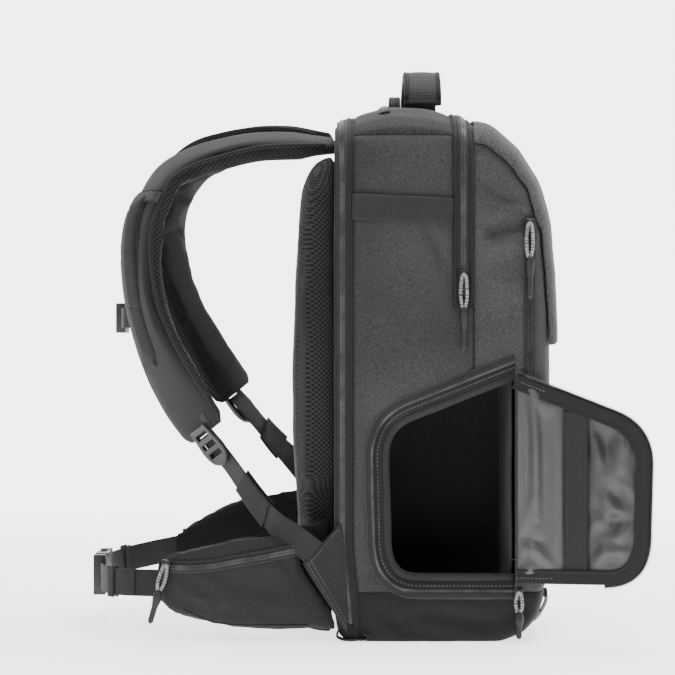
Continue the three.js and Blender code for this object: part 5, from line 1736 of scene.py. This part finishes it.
hip_zip_points = (
    (-252, 68.7), (-232.7, 69.4), (-209, 72.2), (-186, 77), (-162.4, 80.8), (-140, 85.5), (-131, 86.8))
for label, side, rise in (("left", -1, 0.0), ("right", 1, 15.0)):
    pocket = bpy.data.objects[f"hip_pocket_cloth_{label}"]
    tree = BVHTree.FromObject(pocket, bpy.context.evaluated_depsgraph_get())
    line = []
    rows = [(Vector((x, 0, z)) * MM,) for x, z in hip_zip_points]
    for point, run in follow(rows, 60):
        share = min(max((-point.x / MM - 200) / 60, 0), 1)
        line.append(over(tree, point.x, point.z + rise * (1 - 0.6 * share) * MM, side))
    zip_closed(f"hip_zip_{label}", line, f"hip_zip_tape_{label}", width=10 * MM)
    above = [(place + Vector((0, 0, 5.6 * MM)), normal) for place, normal in line]
    piping(f"hip_zip_lip_{label}", above, 1.3 * MM, lift=0.4 * MM, cloth=hip_cloth, slot="strap_fabric")
    low_edge = [over(tree, x * MM, (pocket_foot(x) + rise) * MM, side) for x in range(-240, -118, 6)]
    piping(f"hip_pocket_seam_{label}", low_edge, 1.0 * MM, lift=0.1 * MM, slot="strap_fabric")
    tilt = 0 if side < 0 else 18
    corners = [Vector(p) * MM for p in ((-125, 75 + tilt / 2), (-83, 9.0), (-86, 70), (-89.5, 113 + tilt))]
    wing_y = side * 156 * MM

    def wing_place(u, v):
        low_side = corners[0].lerp(corners[1], u)
        high_side = corners[3].lerp(corners[2], u)
        point = low_side.lerp(high_side, v)
        edge = min(u, 1 - u, v, 1 - v) * 5
        swell = 1.6 * MM * min(edge, 1) ** 0.6 + 0.6 * MM * noise.noise(Vector((point.x, 0, point.y)) * 40)
        return Vector((point.x, wing_y + side * (swell - 1.2 * MM), point.y))
    wing_cloth = laid(24, 24, wing_place, (0.06, 0.05))
    thickened(piece(f"hip_wing_cloth_{label}", wing_cloth, hip_cloth, "strap_fabric",
                    replaces=[f"hip_wing_{label}"]), 3.2 * MM, offset=0)
    for row, v in enumerate((0.07, 0.16)):
        seam_line = [(wing_place(u, v) + Vector((0, side * 1.5 * MM, 0)), Vector((0, side, 0)))
                     for u in np.linspace(0.04, 0.96, 30)]
        stitches(f"hip_wing_stitch_{label}_{row}", seam_line, slot="strap_fabric", material=thread,
                 pitch=3 * MM, length=1.9 * MM)
    top_line = [(wing_place(0.06, v) + Vector((0, side * 1.5 * MM, 0)), Vector((0, side, 0)))
                for v in np.linspace(0.1, 0.9, 20)]
    stitches(f"hip_wing_top_stitch_{label}", top_line, slot="strap_fabric", material=thread, pitch=3 * MM,
             length=1.9 * MM)
print("hip zips and wings are on")

# %% [markdown]
# ### Handle, hang loop and small tabs
# The handle is a wide webbing folded round a foam core, so its section is a soft slab with a raised
# middle. The hang loop is one plain ribbon. Both follow the frame's arch.

# %% Handle and hang loop
# Each row is a share of the arch's span and a share of its rise.
arch_shares = (
    (-0.5, 0), (-0.47, 0.38), (-0.36, 0.8), (-0.17, 0.97), (0, 1),
    (0.17, 0.97), (0.36, 0.8), (0.47, 0.38), (0.5, 0))


def arch_stations(x, span, rise, thick, steps):
    """Sections along an arch that stands on the bag's top."""
    base = 0.520
    rows = [(Vector((x, a * span, base + b * (rise - thick / 2))),) for a, b in arch_shares]
    path = []
    for point, run in follow(rows, steps):
        across, out = band_frame(run, Vector((1, 0, 0)), Vector((0, point.y * 0.2, 1)))
        path.append((point, run, across, out))
    return path


handle_path = arch_stations(-8 * MM, 124 * MM, 38.5 * MM, 7 * MM, 80)
handle_length = run_length(handle_path)


def handle_place(u, v):
    """A point of the handle's soft slab, narrower where a hand holds it."""
    at, along, across, out = handle_path[int(round(v * 80))]
    c, n = slab(u, 3.4)
    grip = 1 - 0.1 * math.sin(math.pi * v) ** 4
    crown = 1 + 0.25 * (1 - c * c)
    return at + across * (18.5 * MM * c * grip) + out * (3.1 * MM * n * crown)


handle = piece("top_handle_grip", laid(40, 80, handle_place, (0.086, handle_length), closed=True, caps=True),
               handle_cloth, "webbing", replaces=["top_handle"])
for name, c in (("rear", -0.9), ("front", 0.9)):
    line = []
    for at, along, across, out in handle_path[4:-4]:
        line.append((at + across * (18 * MM * c) + out * 2.3 * MM, (out + across * 0.5 * c).normalized()))
    piping("handle_edge_" + name, line, 1.5 * MM, slot="webbing", cloth=boot_cloth)
    stitched = [(at + across * (18 * MM * (c - 0.14 * c / abs(c))) + out * 3.4 * MM, out)
                for at, along, across, out in handle_path[4:-4]]
    stitches("handle_stitch_" + name, stitched, slot="webbing", pitch=3.4 * MM, length=2.2 * MM)
loop_path = arch_stations(-34.7 * MM, 60 * MM, 15 * MM, 2 * MM, 60)
ribbon("hang_loop_band", loop_path, 11 * MM, 1.8 * MM, "hang_loop", lift=-0.9 * MM)
print("handle", round(handle_length, 3), "m of webbing")

# %% [markdown]
# ### Zip pulls
# Each slider is a small cast body with a bridge. A loop of reflective cord runs through the bridge,
# and a rubber tip holds its two ends together.

# %% Sliders, cords and tips
def round_tube(name, points, radius, cloth, slot, sides=10, steps=40, taper=None, replaces=()):
    """A round cord or rod along a smooth curve through points."""
    path = follow([(Vector(point),) for point in points], steps)
    length = run_length(path)
    side = path[0][1].cross(Vector((0, 1, 0)))
    side = side.normalized() if side.length > 0.1 else Vector((1, 0, 0))
    frames = []
    for point, run in path:
        side = (side - run * side.dot(run)).normalized()
        frames.append((point, side, run.cross(side)))

    def place(u, v):
        point, first, second = frames[int(round(v * steps))]
        angle = 2 * math.pi * u
        wide = radius * (taper(v) if taper else 1)
        return point + first * (wide * math.cos(angle)) + second * (wide * math.sin(angle))
    return piece(name, laid(sides, steps, place, (2 * math.pi * radius, length), closed=True, caps=True),
                 cloth, slot, replaces=list(replaces))


def rounded(mesh, width, segments=3):
    """Bevel every edge of a block."""
    bmesh.ops.bevel(mesh, geom=mesh.edges[:], offset=width, segments=segments, affect="EDGES", profile=0.5,
                    material=-1)


def slider(name, top, side, lean):
    """The cast body: a bevelled wedge with a bridge over its back."""
    body = bmesh.new()
    bmesh.ops.create_cube(body, size=1)
    for vert in body.verts:
        wide = 9 if vert.co.z > 0 else 6.4
        vert.co = Vector((vert.co.x * wide, vert.co.y * 3.4, vert.co.z * 12.5)) * MM
    rounded(body, 1.1 * MM)
    bridge = bmesh.new()
    bmesh.ops.create_cube(bridge, size=1)
    for vert in bridge.verts:
        vert.co = Vector((vert.co.x * 3.2, vert.co.y * 2.2 + side * 2.6, vert.co.z * 9.5)) * MM
    rounded(bridge, 0.8 * MM)
    whole = joined([body, bridge])
    turn = Matrix.Rotation(-lean, 4, "Y")
    bmesh.ops.transform(whole, matrix=Matrix.Translation(top - Vector((0, side * 1.6 * MM, 0))) @ turn,
                        verts=whole.verts)
    return piece(name, whole, black_metal, "cord")


def zip_pull(node, top, side, length, lean=0.0):
    """A slider with its cord loop and rubber tip, hanging from its top at a lean."""
    right = Vector((math.cos(lean), 0, math.sin(lean)))
    up = Vector((-math.sin(lean), 0, math.cos(lean)))
    out = Vector((0, side, 0))

    def at(a, b, c=0.0):
        return top + right * (a * MM) - up * (b * MM) + out * (c * MM)
    slider(node + "_slider", top, side, lean)
    knot = 0.46 * length / MM
    half = 2.9
    cord = [
        at(-0.6, knot + 3, -0.6), at(-1.4, knot - 3, -0.4), at(-half, knot * 0.62, 0.3),
        at(-half, knot * 0.3, 0.6), at(-half * 0.8, 3, 1.2), at(-half * 0.5, -0.5, 1.9), at(0, -1.8, 2.2),
        at(half * 0.5, -0.5, 1.9), at(half * 0.8, 3, 1.2), at(half, knot * 0.3, 0.6),
        at(half, knot * 0.62, 0.3), at(1.4, knot - 3, -0.4), at(0.6, knot + 3, -0.6),
    ]
    round_tube(node + "_loop", cord, 1.7 * MM, silver_cord, "cord", steps=90, replaces=[node])
    end = length / MM - 1.5
    tip = [at(0, knot - 3.5, -0.4), at(0.3, knot + 4, -0.2), at(0.2, (knot + end) / 2, 0.2), at(0, end, 0)]

    def tip_shape(v):
        belly = 0.72 + 0.34 * math.sin(math.pi * min(v * 1.6, 1)) - 0.1 * v
        return belly * min(1, 0.35 + (1 - v) * 14) * min(1, 0.55 + v * 9)
    round_tube(node + "_tip", tip, 4.3 * MM, tip_rubber, "cord", sides=14, steps=40, taper=tip_shape)


pull_face = 158.6 * MM
for label, side in (("left", -1), ("right", 1)):
    zip_pull(f"front_zip_pull_{label}", Vector((27 * MM, side * pull_face, 347 * MM)), side, 72 * MM)
    zip_pull(f"pocket_zip_pull_{label}", Vector((89.2 * MM, side * pull_face, 395.5 * MM)), side, 72 * MM)
    raised = 69.8 if side < 0 else 75.7
    hip_top = Vector((-257.3 * MM, side * 134.2 * MM, raised * MM))
    zip_pull(f"hip_zip_pull_{label}", hip_top, side, 58 * MM, lean=-0.27)
zip_pull("port_zip_pull", Vector((79 * MM, -pull_face, 46.5 * MM)), -1, 44 * MM)
print("seven pulls")

# %% Base tab and gear loop
tab_y = -149
tab_rows = ((-92, 12), (-94, 5.5), (-88, 1.9), (-76, 1.7), (-65, 2.4), (-63, 6), (-67, 8.6))
tab_route = [(Vector((x, tab_y, z)) * MM,) for x, z in tab_rows]
tab_path = []
for point, run in follow(tab_route, 48):
    across, out = band_frame(run, Vector((0, 1, 0)), Vector((0, 0, -1)))
    tab_path.append((point, run, across, out))
ribbon("base_tab_loop", tab_path, 11 * MM, 1.6 * MM, "base_tab", lift=-0.8 * MM)
gear_y = -56 * MM
gear_rows = ((0.1135, 0.038), (0.1148, 0.030), (0.1105, 0.019), (0.1045, 0.0105), (0.0995, 0.0075))
gear_line = [Vector((x, gear_y, z)) for x, z in gear_rows]
round_tube("gear_cord", gear_line, 1.9 * MM, silver_cord, "cord", steps=48, replaces=["gear_loop"])
gear_tab = bmesh.new()
bmesh.ops.create_cube(gear_tab, size=1)
for vert in gear_tab.verts:
    vert.co = Vector((0.1125 + vert.co.x * 0.0065, gear_y + vert.co.y * 0.012, 0.0362 + vert.co.z * 0.0085))
rounded(gear_tab, 1.6 * MM)
piece("gear_tab", gear_tab, binding_cloth, "webbing")
print("base pieces are on")

# %% [markdown]
# ### Buckles and ladder locks
# A side-release buckle is a flat housing with two open sides, through which the springs of its other
# half are pressed. Each end is a bar for the webbing. A ladder lock is a small grille: a frame with
# slots, and a lip that bites the webbing. The buckles start from blocks that are cut with Boolean
# operators and then bevelled, as the mould would leave them; each ladder lock is a bevelled copy of its solid.

# %% Moulded clips
def block(centre, size, turn=None):
    """A box of a given size about its own middle, turned and then put in its place."""
    made = bmesh.new()
    bmesh.ops.create_cube(made, size=1, matrix=Matrix.Diagonal((*size, 1)))
    place = Matrix.Translation(centre) @ (turn or Matrix.Identity(4))
    bmesh.ops.transform(made, matrix=place, verts=made.verts)
    return made


def cut(made, blocks):
    """Take the blocks out of the object and soften the edges that are left."""
    for mesh in blocks:
        cutter = stood("cutter", mesh)
        modified(made, "BOOLEAN", object=cutter, operation="DIFFERENCE", solver="EXACT")
        removed(cutter)
    modified(made, "BEVEL", width=0.7 * MM, segments=2, limit_method="ANGLE")
    return made


def side_release(node, name):
    """The buckle lies across the body: its webbing leaves at both ends along y."""
    low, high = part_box(node)
    middle, size = (low + high) / 2, high - low
    body = piece(name, block(middle, size), clip_plastic, "plastic", replaces=[node])
    cuts = []
    for end in (-1, 1):
        at_end = middle + Vector((0, end * size.y * 0.41, 0))
        cuts.append(block(at_end, Vector((size.x * 2, size.y * 0.07, size.z * 0.74))))
        for edge in (-1, 1):
            shoulder = middle + Vector((0, end * size.y * 0.30, edge * size.z * 0.5))
            cuts.append(block(shoulder, Vector((size.x * 2, size.y * 0.13, size.z * 0.12))))
    for edge in (-1, 1):
        window = middle + Vector((0, size.y * 0.06, edge * size.z * 0.47))
        cuts.append(block(window, Vector((size.x * 0.5, size.y * 0.3, size.z * 0.2))))
    cuts.append(block(middle + Vector((-size.x * 0.5, -size.y * 0.12, 0)),
                      Vector((size.x * 0.24, size.y * 0.03, size.z * 1.2))))
    cut(body, cuts)
    for edge in (-1, 1):
        spring = block(middle + Vector((0, size.y * 0.06, edge * size.z * 0.40)),
                       Vector((size.x * 0.42, size.y * 0.24, size.z * 0.13)))
        rounded(spring, 0.6 * MM, 2)
        piece(f"{name}_spring_{'low' if edge < 0 else 'high'}", spring, black_metal, "plastic")
    ribs = bmesh.new()
    for k in range(5):
        bmesh.ops.create_cube(ribs, size=1, matrix=(
            Matrix.Translation(middle + Vector((-size.x * 0.5, size.y * (0.18 + 0.035 * k), 0)))
            @ Matrix.Diagonal((0.9 * MM, size.y * 0.014, size.z * 0.3, 1))))
    piece(name + "_grip", ribs, clip_plastic, "plastic", flat=True)


side_release("belt_buckle", "belt_clip")
side_release("sternum_buckle", "sternum_clip")
for label in ("left", "right"):
    node = "ladder_lock_" + label
    lock = stood(node + "_frame", copied(node))
    modified(lock, "BEVEL", width=0.5 * MM, segments=2, limit_method="ANGLE")
    lock.data.materials.clear()
    lock.data.materials.append(clip_plastic)
    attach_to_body(lock, "root")
    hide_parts(node)
print("two buckles and two ladder locks")
